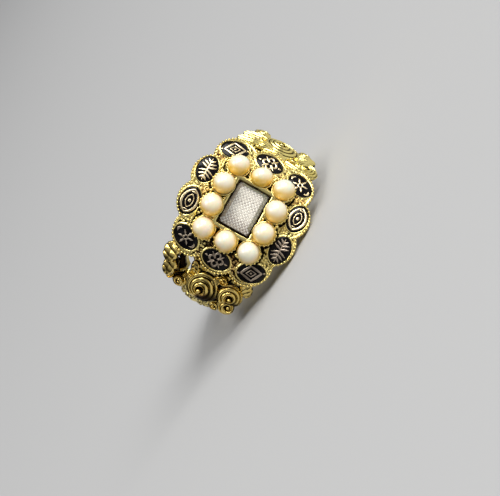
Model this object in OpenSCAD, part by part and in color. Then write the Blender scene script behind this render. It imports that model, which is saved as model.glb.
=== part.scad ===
// Mourning ring in gold. A scalloped head carries ten black enamel cells, each with a gold
// motif, round a raised cluster of half pearls and a bevelled crystal over woven hair.
// The wide shoulders are pierced scrollwork, and the band is plain at the back.
// The ring lies on its side: it rests on two lobes of the head and on the edge of the band.

/* [Band] */
// Radius of the finger hole
bore_r = 8.5; // [8:0.25:9]
// Width of the plain band at the back
band_w = 4; // [3.4:0.2:4.4]
// Thickness of the band at its crown
band_t = 1.1; // [1:0.05:1.4]
// Thickness of the band at its edges
band_edge_t = 0.75; // [0.6:0.05:0.8]

/* [Head] */
// Height of the head over the finger hole
head_rise = 2.5; // [2.3:0.1:2.8]
// Radius of the curve of the head along the band
head_r = 12; // [11.5:0.25:13]
// Thickness of the scalloped plate
plate_t = 0.9; // [0.7:0.1:1]
// Radius of each lobe of the scalloped edge
lobe_r = 2.5; // [2.4:0.05:2.7]
// Distance of each lobe's centre inside its cell's centre
lobe_inset = 1.12; // [1:0.04:1.2]

/* [Enamel cells] */
// Half length of an enamel oval
cell_long = 1.52; // [1.3:0.02:1.56]
// Half width of an enamel oval
cell_wide = 1.02; // [0.9:0.02:1.04]
// Depth of the recess that holds the enamel
cell_depth = 0.5; // [0.4:0.05:0.55]
// Width of the lines of the gold motifs
motif_line = 0.18; // [0.14:0.01:0.2]

/* [Pearls and crystal] */
// Radius of a half pearl
pearl_r = 1.22; // [1.1:0.02:1.24]
// Height of a pearl's widest part over the plate
pearl_lift = 1; // [0.9:0.05:1.1]
// Outside radius of a pearl's cup
cup_r = 1.32; // [1.28:0.01:1.34]
// Half length of the crystal along the band
crystal_long = 2.38; // [2.1:0.02:2.4]
// Half width of the crystal across the band
crystal_wide = 1.74; // [1.5:0.02:1.76]
// Height of the crystal's table over the plate
crystal_rise = 1.2; // [1.1:0.05:1.3]

/* [Shoulders] */
// Wall of the pierced shoulders over the finger hole
shoulder_t = 1.2; // [1.1:0.05:1.3]
// Height of the raised rings of the scrolls
ridge_h = 0.2; // [0.12:0.02:0.24]
// Distance from one raised ring of a scroll to the next
ring_pitch = 0.48; // [0.44:0.02:0.56]
// Width of the raised bands that curl between the scrolls
curl_w = 0.44; // [0.36:0.02:0.5]

/* [Hidden] */
// Clearance between a stone or the enamel and its seat
gap = 0.025;
// Round forms: facets of a full circle
$fn = 96;

// Cluster of pearls: distance along the head and across it, for each kind of place
pearl_end_arc = 3.73;
pearl_corner_arc = 3.64;
pearl_corner_across = 2.73;
pearl_side_arc = 1.24;
pearl_side_across = 3.15;

// Enamel cells: the same five sizes for their own ring of places
cell_end_arc = 6.25;
cell_corner_arc = 5.66;
cell_corner_across = 3.99;
cell_side_arc = 1.96;
cell_side_across = 5.5;
// Turn of a corner cell away from square across the band
cell_corner_turn = 27;

// Depth of the flat cut under a half pearl, below its widest part
pearl_flat = 0.5;
cup_top = 0.72;
ledge_top = 0.42;
ledge_long = 3.3;
ledge_wide = 2.45;

// Crystal: heights over the plate and the size of the table
hair_floor = 0.12;
hair_t = 0.2;
crystal_base = 0.36;
crystal_girdle = 0.78;
table_long = crystal_long - 0.3;
table_wide = crystal_wide - 0.38;
corner_cut = 0.22;
frame_wall = 0.1;
frame_top = 0.84;

// Enamel dome and the motif set into it
dome_r = 8;
dome_top = 0.05;
motif_depth = 0.16;
motif_proud = 0.02;

head_top = bore_r + head_rise;
head_axis_z = head_top - head_r;
shoulder_r = bore_r + shoulder_t;
band_edge_r = bore_r + band_edge_t;
// The solid under the plate, down to the finger hole
body_long = 5.4;
body_wide = 5.1;
body_corner = 3;
// How far below the middle of the finger hole the band runs into the shoulders
band_end_drop = 1.8;
// How far the curled bands stand out of the wall of the shoulders
curl_rise = 0.12;
// How far a piercing cuts above the wall of the shoulders, short of the head
pierce_rise = 0.55;
// How far cutting solids run past what they cut
over = 2;

// Half width of the shoulders at angles from the head, from the head to the plain band
SHOULDER_WIDTH = [
    // angle, half width
    [0, 4.9],
    [33, 4.8],
    [46, 4],
    [60, 3.1],
    [75, 2.5],
    [90, 2.2],
    [118, 1.8],
];

// Turned scrolls of one shoulder. The other shoulder mirrors them.
SCROLLS = [
    // angle, across, radius, rise
    [60.5, -0.55, 1.45, 0.62],
    [53, -3.35, 1.08, 0.42],
    [69, -2.7, 0.82, 0.36],
    [45.5, 4.15, 0.95, 0.42],
    [56.5, 3.6, 0.8, 0.36],
    [46, -1.75, 0.5, 0.34],
    [45, -4.6, 0.55, 0.3],
    [67, 2.7, 0.46, 0.28],
    [75, 1.1, 0.55, 0.28],
    [81, -1.1, 0.5, 0.24],
    [91, 0, 0.8, 0.2],
];

// Raised bands that curl between the scrolls of one shoulder, each an arc about its centre
CURLS = [
    // angle, across, radius, from, to
    [50, 1.5, 1.25, -200, 20],
    [63, 1.7, 1.5, 15, 150],
    [61, -2.1, 1.75, -140, -45],
    [77, 0.1, 1.9, -75, 75],
    [92, 0.9, 1.2, -160, -20],
    [92, -0.9, 1.2, 20, 160],
];

// Piercings of one shoulder, each a leaf shape cut through to the finger hole
PIERCINGS = [
    // angle, across, length, width, turn
    [46, 2.6, 2.4, 1.05, 8],
    [48.5, 0.45, 2.3, 1.1, 80],
    [58.5, 1.95, 2, 0.95, 25],
    [46.5, -3.1, 1.5, 0.85, 65],
    [63.5, -2.3, 1.2, 0.6, -35],
    [72, -0.75, 1.8, 0.8, 68],
    [69, 1.7, 1.6, 0.85, -30],
    [82, 0.45, 1.5, 0.8, 75],
    [87, 1.25, 1.4, 0.7, 0],
    [87, -1.35, 1.4, 0.7, 0],
];

// Places of ten pieces round the head, from the middle of the far end and on round
function places(end_arc, corner_arc, corner_across, side_arc, side_across) = [
    [end_arc, 0],
    [corner_arc, corner_across],
    [side_arc, side_across],
    [-side_arc, side_across],
    [-corner_arc, corner_across],
    [-end_arc, 0],
    [-corner_arc, -corner_across],
    [-side_arc, -side_across],
    [side_arc, -side_across],
    [corner_arc, -corner_across],
];
PEARLS = places(pearl_end_arc, pearl_corner_arc, pearl_corner_across, pearl_side_arc, pearl_side_across);
CELLS = places(cell_end_arc, cell_corner_arc, cell_corner_across, cell_side_arc, cell_side_across);
// Turn of each cell's long side from the line along the band
CELL_TURNS = [
    90, 90 + cell_corner_turn, 0, 0, 90 - cell_corner_turn,
    90, 90 + cell_corner_turn, 0, 0, 90 - cell_corner_turn,
];
// Which motif each cell carries
CELL_MOTIFS = [0, 1, 2, 3, 4, 0, 1, 2, 3, 4];

function degrees(radians) = radians * 180 / PI;
// Place of a cell seen straight down on the head
function plan(place) = [head_r * sin(degrees(place[0] / head_r)), place[1]];
// Centre of the lobe outside a cell, seen straight down
function lobe_centre(place) = plan(place) * (1 - lobe_inset / norm(plan(place)));
LOBES = [for (place = CELLS) lobe_centre(place)];
// Outline of an oval
function oval(half_long, half_wide, sides = 40) = [
    for (i = [0:sides - 1]) [half_long * cos(360 * i / sides), half_wide * sin(360 * i / sides)]
];

// Lean of the ring as it lies: it rests on the lower edge of two lobes and on the band's edge
lobe_reach = LOBES[2][1] + lobe_r;
lobe_low_z = head_axis_z + sqrt((head_r - plate_t) ^ 2 - LOBES[2][0] ^ 2);
lean = atan((lobe_reach - band_w / 2) / (lobe_low_z + band_edge_r));
floor_drop = band_w / 2 * cos(lean) + band_edge_r * sin(lean);
// Front and back of the resting ring, for an origin under its middle
pearl_axis_z = head_axis_z + (head_r + pearl_lift) * cos(degrees(pearl_side_arc / head_r));
front_reach = pearl_side_across * sin(lean) + pearl_axis_z * cos(lean) + pearl_r;
back_reach = band_w / 2 * sin(lean) + band_edge_r * cos(lean);

NUMBERS = ["01", "02", "03", "04", "05", "06", "07", "08", "09", "10"];

// From the ring's own frame, with the finger hole along Y and the head up, to where it lies
module lying() {
    translate([0, (front_reach - back_reach) / 2, floor_drop]) rotate([90 - lean, 0, 0]) children();
}

// A place on the curved head, with Z straight out of it
module on_head(place, lift = 0) {
    translate([0, 0, head_axis_z]) rotate([0, degrees(place[0] / head_r), 0])
        translate([0, place[1], head_r + lift]) children();
}

// A place on a shoulder, with Z straight out from the finger hole's axis
module on_shoulder(angle, across) {
    rotate([0, angle, 0]) translate([0, across, 0]) children();
}

// A cylinder that lies across the band
module across_band(r, z = 0, width = 20) {
    translate([0, 0, z]) rotate([90, 0, 0]) cylinder(r = r, h = width, center = true, $fn = 180);
}

// Plain band behind the shoulders, with a crowned outside. Inside it is oversize for the bore.
module band() {
    rise = band_t - band_edge_t;
    crown_r = ((band_w / 2) ^ 2 + rise ^ 2) / (2 * rise);
    intersection() {
        rotate([90, 0, 0]) rotate_extrude($fn = 180) intersection() {
            translate([bore_r - 0.5, -band_w / 2]) square([band_t + over, band_w]);
            translate([bore_r + band_t - crown_r, 0]) circle(r = crown_r, $fn = 240);
        }
        translate([-2 * bore_r, -band_w, -2 * bore_r]) cube([4 * bore_r, 2 * band_w, 2 * bore_r - band_end_drop]);
    }
}

// Tapered wall of both shoulders, which also closes the back of the head
module shoulder_wall() {
    side = [for (row = SHOULDER_WIDTH) [shoulder_r * cos(row[0]), row[1]]];
    other = [for (i = [len(side) - 1:-1:0]) [side[i][0], -side[i][1]]];
    intersection() {
        across_band(shoulder_r - 0.15, 0.25);
        rotate([90, 0, 90]) linear_extrude(30, center = true)
            mirror([1, 0]) rotate(90) polygon(concat(side, other));
    }
}

// Turned disc with raised rings and a bead in the middle
module scroll(radius, rise) {
    low = bore_r - 0.4;
    top = shoulder_r + rise;
    rings = [for (outside = [radius:-ring_pitch:ring_pitch]) for (point = [
        [outside, top],
        [outside - ring_pitch * 0.25, top + ridge_h],
        [outside - ring_pitch * 0.55, top + ridge_h],
        [outside - ring_pitch * 0.8, top],
    ]) point];
    bead = min(0.3, radius * 0.35);
    rotate_extrude() polygon(concat(
        [[0, low], [radius, low]],
        rings,
        [[bead, top], [bead * 0.7, top + bead * 0.8], [0, top + bead]]
    ));
}

// Raised band along an arc, with its edges bevelled
module curl(radius, from, to) {
    low = bore_r - 0.1;
    top = shoulder_r + curl_rise;
    half = curl_w / 2;
    rotate(from) rotate_extrude(angle = to - from) polygon([
        [radius - half, low],
        [radius + half, low],
        [radius + half, top],
        [radius + half * 0.4, top + ridge_h],
        [radius - half * 0.4, top + ridge_h],
        [radius - half, top],
    ]);
}

// Leaf shape between two arcs, for a piercing
module leaf(length, width) {
    arc_r = (length ^ 2 + width ^ 2) / (4 * width);
    intersection() {
        translate([0, arc_r - width / 2]) circle(r = arc_r);
        translate([0, width / 2 - arc_r]) circle(r = arc_r);
    }
}

module shoulders() {
    difference() {
        union() {
            shoulder_wall();
            for (side = [0, 1], row = SCROLLS) mirror([side, 0, 0])
                on_shoulder(row[0], row[1]) scroll(row[2], row[3]);
            for (side = [0, 1], row = CURLS) mirror([side, 0, 0])
                on_shoulder(row[0], row[1]) curl(row[2], row[3], row[4]);
        }
        for (side = [0, 1], row = PIERCINGS) mirror([side, 0, 0])
            on_shoulder(row[0], row[1]) translate([0, 0, bore_r - over]) rotate(row[4])
                linear_extrude(over + shoulder_t + pierce_rise) leaf(row[2], row[3]);
    }
}

// Scalloped edge of the head, seen straight down
module head_outline() {
    polygon(LOBES);
    for (centre = LOBES) translate(centre) circle(r = lobe_r);
}

// Curved plate, and the solid that carries it on the band
module head_plate() {
    intersection() {
        translate([0, 0, bore_r / 2]) linear_extrude(head_top) head_outline();
        difference() {
            across_band(head_r, head_axis_z);
            across_band(head_r - plate_t, head_axis_z);
        }
    }
    intersection() {
        translate([0, 0, bore_r / 2]) linear_extrude(head_top) head_body_outline();
        across_band(head_r - plate_t / 2, head_axis_z);
    }
}

module head_body_outline() {
    square([2 * body_long, 2 * (body_wide - body_corner)], center = true);
    square([2 * (body_long - body_corner), 2 * body_wide], center = true);
    for (x = [-1, 1], y = [-1, 1])
        translate([x * (body_long - body_corner), y * (body_wide - body_corner)]) circle(r = body_corner);
}

// A box on the middle of the head, from half sizes and two heights over the plate
module middle_box(half_long, half_wide, low, high) {
    translate([-half_long, -half_wide, head_top + low]) cube([2 * half_long, 2 * half_wide, high - low]);
}

// Cups for the pearls, the ledge inside them and the frame round the crystal
module gallery() {
    for (place = PEARLS) on_head(place, -plate_t / 2) cylinder(r = cup_r, h = plate_t / 2 + cup_top);
    middle_box(ledge_long, ledge_wide, -plate_t / 2, ledge_top);
    middle_box(crystal_long + gap + frame_wall, crystal_wide + gap + frame_wall, 0, frame_top);
}

// Seat of one pearl: its own round form with a flat floor
module pearl_seat() {
    intersection() {
        sphere(r = pearl_r + gap);
        translate([0, 0, -pearl_flat - gap]) cylinder(r = 2 * pearl_r, h = 2 * over);
    }
}

module cell_prism(clear, low, high) {
    translate([0, 0, low]) linear_extrude(high - low) polygon(oval(cell_long + clear, cell_wide + clear));
}

module gold_mount() {
    color("goldenrod") lying() difference() {
        union() {
            band();
            shoulders();
            head_plate();
            gallery();
        }
        across_band(bore_r);
        for (place = PEARLS) on_head(place, pearl_lift) pearl_seat();
        for (i = [0:9]) on_head(CELLS[i]) rotate(CELL_TURNS[i]) cell_prism(gap, -cell_depth, over);
        middle_box(crystal_long + gap, crystal_wide + gap, hair_floor, over);
    }
}

module pearl(i) {
    color("ivory") lying() on_head(PEARLS[i], pearl_lift) intersection() {
        sphere(r = pearl_r);
        translate([0, 0, -pearl_flat]) cylinder(r = 2 * pearl_r, h = 2 * over);
    }
}

// Short arc of a line motif, from one angle to another
module arc_line(r, from, to, line) {
    reach = 2 * r + line;
    steps = [for (k = [0:4]) from + (to - from) * k / 4];
    intersection() {
        difference() {
            circle(r = r + line / 2, $fn = 48);
            circle(r = r - line / 2, $fn = 48);
        }
        polygon(concat([[0, 0]], [for (a = steps) reach * [cos(a), sin(a)]]));
    }
}

module bar(length, line) {
    square([length, line], center = true);
}

// Ring of four petals and a dot
module quatrefoil(line) {
    for (turn = [0:90:270]) rotate(turn) translate([0.42, 0]) difference() {
        circle(r = 0.24 + line / 2, $fn = 32);
        circle(r = 0.24 - line / 2, $fn = 32);
    }
    for (side = [-1, 1]) translate([side * 0.98, 0]) circle(r = line * 0.75, $fn = 24);
}

// Lozenge with a dot in it and one at each end
module lozenge(line) {
    difference() {
        polygon([[0.72 + line, 0], [0, 0.46 + line], [-0.72 - line, 0], [0, -0.46 - line]]);
        polygon([[0.72 - line, 0], [0, 0.46 - line], [-0.72 + line, 0], [0, -0.46 + line]]);
    }
    for (x = [-1.08, 0, 1.08]) translate([x, 0]) circle(r = line * 0.7, $fn = 24);
}

// Two sprays of leaves on one stem
module sprays(line) {
    bar(2, line);
    for (side = [-1, 1], step = [0.22, 0.56]) for (tilt = [-1, 1])
        translate([side * (step + 0.14), tilt * 0.22]) rotate(tilt * side * 52) bar(0.5, line);
}

// Two arcs that close round a bead, with a short bar at each side
module eye(line) {
    for (side = [-1, 1]) mirror([0, side > 0 ? 0 : 1]) translate([0, -0.66]) arc_line(1.12, 38, 142, line);
    circle(r = 0.17 + line / 2, $fn = 24);
    for (side = [-1, 1]) translate([side * 1.04, 0]) bar(line, 0.36 + line);
}

// Six rays round a small ring
module star(line) {
    difference() {
        circle(r = 0.2 + line / 2, $fn = 32);
        circle(r = 0.2 - line / 2, $fn = 32);
    }
    for (turn = [0:60:300]) rotate(turn) translate([0.48, 0]) bar(0.42, line);
    for (side = [-1, 1]) translate([side * 1, 0]) circle(r = line * 0.8, $fn = 24);
}

module motif(kind, line) {
    if (kind == 0) quatrefoil(line);
    if (kind == 1) lozenge(line);
    if (kind == 2) sprays(line);
    if (kind == 3) eye(line);
    if (kind == 4) star(line);
}

// The ball whose surface is the dome of a cell, grown or shrunk by a little
module dome(grow = 0) {
    translate([0, 0, dome_top - dome_r]) sphere(r = dome_r + grow, $fn = 200);
}

module enamel(i) {
    color("black") lying() on_head(CELLS[i]) rotate(CELL_TURNS[i]) difference() {
        intersection() {
            cell_prism(0, gap - cell_depth, over);
            dome();
        }
        difference() {
            translate([0, 0, -cell_depth]) linear_extrude(over) motif(CELL_MOTIFS[i], motif_line + 2 * gap);
            dome(-motif_depth - gap);
        }
    }
}

module inlay(i) {
    color("gold") lying() on_head(CELLS[i]) rotate(CELL_TURNS[i]) difference() {
        intersection() {
            translate([0, 0, -cell_depth]) linear_extrude(over) motif(CELL_MOTIFS[i], motif_line);
            dome(motif_proud);
        }
        dome(-motif_depth);
    }
}

module hair_panel() {
    color("silver") lying() middle_box(crystal_long, crystal_wide, hair_floor + gap, hair_floor + gap + hair_t);
}

// One pair of bevels, as a long prism across the crystal
module bevel_prism(half_girdle, half_table) {
    rotate([90, 0, 0]) linear_extrude(4 * crystal_long, center = true) polygon([
        [-half_girdle, crystal_base],
        [half_girdle, crystal_base],
        [half_girdle, crystal_girdle],
        [half_table, crystal_rise],
        [-half_table, crystal_rise],
        [-half_girdle, crystal_girdle],
    ]);
}

module crystal() {
    diagonal = (crystal_long + crystal_wide) / sqrt(2) - corner_cut;
    table_diagonal = (table_long + table_wide) / sqrt(2) - corner_cut;
    color("lightgray", 0.4) lying() translate([0, 0, head_top]) intersection() {
        bevel_prism(crystal_long, table_long);
        rotate(90) bevel_prism(crystal_wide, table_wide);
        rotate(45) bevel_prism(diagonal, table_diagonal);
        rotate(-45) bevel_prism(diagonal, table_diagonal);
    }
}

gold_mount();
hair_panel();
crystal();
for (i = [0:9]) {
    pearl(i);
    enamel(i);
    inlay(i);
}
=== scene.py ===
"""Looks of a gold mourning ring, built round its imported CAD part.

The ring lies on its side, as it rests by itself. Every shape is worked out in the ring's own frame, in
millimetres: X runs along the band at the head, Y is the finger hole's axis and Z points out of the head.
RingFrame carries those points to the row frame, in metres. Surfaces are described by fields, which are
functions of u, the distance from the middle of the head along the band, and v, the distance across it.
"""

import logging
import math
from dataclasses import dataclass, field
from enum import Enum
from typing import Any, Callable, Sequence

import bmesh
import bpy
import numpy as np
from mathutils import Matrix, Vector


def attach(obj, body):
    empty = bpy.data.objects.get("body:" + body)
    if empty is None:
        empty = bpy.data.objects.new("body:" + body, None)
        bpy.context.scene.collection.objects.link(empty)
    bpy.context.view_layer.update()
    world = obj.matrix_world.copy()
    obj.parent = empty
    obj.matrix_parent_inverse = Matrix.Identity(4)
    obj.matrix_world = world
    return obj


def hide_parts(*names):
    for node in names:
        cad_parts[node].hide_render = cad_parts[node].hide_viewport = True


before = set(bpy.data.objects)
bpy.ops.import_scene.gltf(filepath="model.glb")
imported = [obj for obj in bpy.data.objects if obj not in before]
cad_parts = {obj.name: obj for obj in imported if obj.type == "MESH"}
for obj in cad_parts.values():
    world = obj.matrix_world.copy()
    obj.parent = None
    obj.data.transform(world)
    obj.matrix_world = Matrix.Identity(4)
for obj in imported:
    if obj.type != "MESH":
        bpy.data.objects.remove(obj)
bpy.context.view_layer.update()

BODY = "root"
MOUNT = "gold_mount"
MM = 0.001
COUNT = 10

Array = np.ndarray
Material = bpy.types.Material
Color = tuple[float, float, float, float]
Field = Callable[[Array, Array], Array]
log = logging.getLogger("mourning_ring")


# The ring's own frame


def swung(a: Any, b: Any, degrees: float) -> tuple[Any, Any]:
    """Two distances, measured along axes that are turned by an angle."""
    cos, sin = math.cos(math.radians(degrees)), math.sin(math.radians(degrees))
    return a * cos + b * sin, b * cos - a * sin


@dataclass(frozen=True)
class RingFrame:
    """Main sizes of the ring and the way it lies, in millimetres and degrees."""

    bore_r: float = 8.5
    head_top: float = 11.0
    head_r: float = 12.0
    shoulder_r: float = 9.7
    lean: float = 14.413
    floor_drop: float = 4.2395
    shift: float = 2.0513

    @property
    def head_axis_z(self) -> float:
        """Height of the axis that the head curves round."""
        return self.head_top - self.head_r

    def turned(self, vectors: Any) -> Array:
        """Directions in the ring's frame, turned the way it lies."""
        x, y, z = np.moveaxis(np.asarray(vectors, float), -1, 0)
        return np.stack([x, *swung(y, z, self.lean - 90)], -1)

    def world(self, points: Any) -> Array:
        """Points in the ring's frame, carried to the row frame in metres."""
        return (self.turned(points) + [0, self.shift, self.floor_drop]) * MM

    def on_head(self, u: Any, v: Any, lift: Any) -> Array:
        """Points over the curved head.

        Args:
            u: Distances along the head.
            v: Distances across it.
            lift: Heights over its surface.

        Returns:
            The points, in the ring's frame.
        """
        u, v, lift = np.broadcast_arrays(u, v, lift)
        reach, turn = self.head_r + lift, u / self.head_r
        return np.stack([reach * np.sin(turn), v, self.head_axis_z + reach * np.cos(turn)], -1)

    def on_hoop(self, side: int, u: Any, v: Any, radius: Any) -> Array:
        """Points round the finger hole.

        Args:
            side: 1 for the far shoulder and -1 for the near one.
            u: Distances from the middle of the head, along the shoulder's surface.
            v: Distances across the band.
            radius: Distances from the finger hole's axis.

        Returns:
            The points, in the ring's frame.
        """
        u, v, radius = np.broadcast_arrays(u, v, radius)
        turn = u / self.shoulder_r
        return np.stack([side * radius * np.sin(turn), v, radius * np.cos(turn)], -1)

    def along(self, degrees: Any) -> Any:
        """Distance along the shoulder's surface at an angle from the head."""
        return np.radians(degrees) * self.shoulder_r

    def degrees(self, u: Any) -> Any:
        """Angle from the head at a distance along the shoulder's surface."""
        return np.degrees(u / self.shoulder_r)

    def spot(self, u: float, v: float, turn: float = 0.0, lift: float = 0.0) -> Array:
        """A flat place on the head, with its own Z straight out of it.

        Args:
            u: Distance along the head.
            v: Distance across it.
            turn: Turn of the place's own X from the line along the band, in degrees.
            lift: Height over the head.

        Returns:
            The 4 by 4 matrix from the place to the ring's frame.
        """
        a, t = u / self.head_r, math.radians(turn)
        lean = np.array([[math.cos(a), 0, math.sin(a)], [0, 1, 0], [-math.sin(a), 0, math.cos(a)]])
        spin = np.array([[math.cos(t), -math.sin(t), 0], [math.sin(t), math.cos(t), 0], [0, 0, 1]])
        matrix = np.eye(4)
        matrix[:3, :3] = lean @ spin
        matrix[:3, 3] = [0, 0, self.head_axis_z] + lean @ [0, v, self.head_r + lift]
        return matrix


def places(end: float, corner: tuple[float, float], side: tuple[float, float]) -> list[tuple[float, float]]:
    """Ten places round the head, from the end, corner and side places of its far quarter."""
    half = [(end, 0.0), corner, side, (-side[0], side[1]), (-corner[0], corner[1])]
    return half + [(-u, -v) for u, v in half]


RING = RingFrame()
PEARL_PLACES = places(3.73, (3.64, 2.73), (1.24, 3.15))
CELL_PLACES = places(6.25, (5.66, 3.99), (1.96, 5.5))
CELL_TURNS = (90, 117, 0, 0, 63) * 2
CELL_LONG, CELL_WIDE = 1.6, 1.14
SHADE_WAY = (-0.872, -0.489)  # away from the key light, along the head and across it


# Measures and fields


def moved(points: Array, matrix: Array) -> Array:
    """Points carried by a 4 by 4 matrix."""
    return points @ matrix[:3, :3].T + matrix[:3, 3]


def unit(vectors: Array) -> Array:
    """Vectors brought to length 1."""
    return vectors / (np.linalg.norm(vectors, axis=-1, keepdims=True) + 1e-12)


def circle(count: int) -> Array:
    """Evenly spaced angles all the way round."""
    return np.linspace(0, 2 * np.pi, count, endpoint=False)


def about_axis(radius: Any, turn: Any, height: Any) -> Array:
    """Points at distances and angles about Z, and at heights along it."""
    radius, turn, height = np.broadcast_arrays(radius, turn, height)
    return np.stack([radius * np.cos(turn), radius * np.sin(turn), height], -1)


def smooth(x: Any) -> Any:
    """A soft step from 0 to 1 as x goes from 0 to 1."""
    x = np.clip(x, 0, 1)
    return x * x * (3 - 2 * x)


def reed(phase: Any) -> Any:
    """Rounded ridges with a sharp groove at each whole number of phase."""
    t = (phase % 1) * 2 - 1
    return np.sqrt(np.maximum(0, 1 - t * t))


def flat(height: float) -> Field:
    """A field that is the same all over."""
    return lambda u, v: np.full(np.shape(u), height)


def net(u: Array, v: Array, size: float) -> tuple[Array, Array, Array, Array]:
    """Row and column of each place in a square net, and how far it lies into its cell.

    Args:
        u: Distances one way.
        v: Distances the other way.
        size: Width of a cell.

    Returns:
        Row, column and both shares.
    """
    x, y = u / size, v / size
    i, j = np.floor(x).astype(int), np.floor(y).astype(int)
    return i, j, x - i, y - j


def mottle(u: Array, v: Array, size: float, seed: int) -> Array:
    """Uneven ground, from -1 to 1.

    Args:
        u: Distances one way.
        v: Distances the other way.
        size: Width of one bump.
        seed: Which ground to lay.

    Returns:
        The value at each place.
    """
    rows, columns = 97, 89
    lattice = np.random.default_rng(seed).uniform(-1, 1, (rows, columns))
    i, j, x, y = net(u, v, size)
    x, y = smooth(x), smooth(y)
    low, high = (
        lattice[i % rows, (j + q) % columns] * (1 - x) + lattice[(i + 1) % rows, (j + q) % columns] * x
        for q in (0, 1)
    )
    return low * (1 - y) + high * y


def punched(u: Array, v: Array, pitch: float, seed: int) -> Array:
    """Ground struck all over with a round punch, as raised grains from 0 to 1.

    Args:
        u: Distances one way.
        v: Distances the other way.
        pitch: Distance between grains.
        seed: Which ground to strike.

    Returns:
        The value at each place.
    """
    rows, columns, grain = 61, 53, 0.62
    jitter = np.random.default_rng(seed).uniform(0.18, 0.82, (rows, columns, 2))
    i, j, x, y = net(u, v, pitch)
    far = []
    for p in (-1, 0, 1):
        for q in (-1, 0, 1):
            at = jitter[(i + p) % rows, (j + q) % columns]
            far.append(np.hypot(x - p - at[..., 0], y - q - at[..., 1]))
    return smooth(1 - np.min(far, axis=0) / grain)


def blurred(values: Array, reach: int) -> Array:
    """A grid averaged twice over the cells around each.

    Args:
        values: The grid.
        reach: How many cells each average reaches out.

    Returns:
        The averages.
    """
    size = 2 * reach + 1
    for axis in (0, 1, 0, 1):
        pad = [(0, 0), (0, 0)]
        pad[axis] = (reach + 1, reach)
        total = np.cumsum(np.pad(values, pad, mode="edge"), axis=axis)
        ahead = np.take(total, range(size, total.shape[axis]), axis=axis)
        behind = np.take(total, range(total.shape[axis] - size), axis=axis)
        values = (ahead - behind) / size
    return values


# Mesh building


def tube(rows: int, columns: int) -> list[Array]:
    """Faces of closed rings joined in a row, with one more point to close each end.

    Args:
        rows: Number of rings.
        columns: Points a ring.

    Returns:
        The quads between the rings and the triangles of the ends.
    """
    index = np.arange(rows * columns).reshape(rows, columns)
    index = np.hstack([index, index[:, :1]])
    quads = np.stack([index[:-1, :-1], index[1:, :-1], index[1:, 1:], index[:-1, 1:]], -1)
    first, last = np.full(columns, rows * columns), np.full(columns, rows * columns + 1)
    ends = [
        np.stack([index[0, :-1], index[0, 1:], first], -1),
        np.stack([index[-1, 1:], index[-1, :-1], last], -1),
    ]
    return [quads.reshape(-1, 4), np.vstack(ends)]


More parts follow.
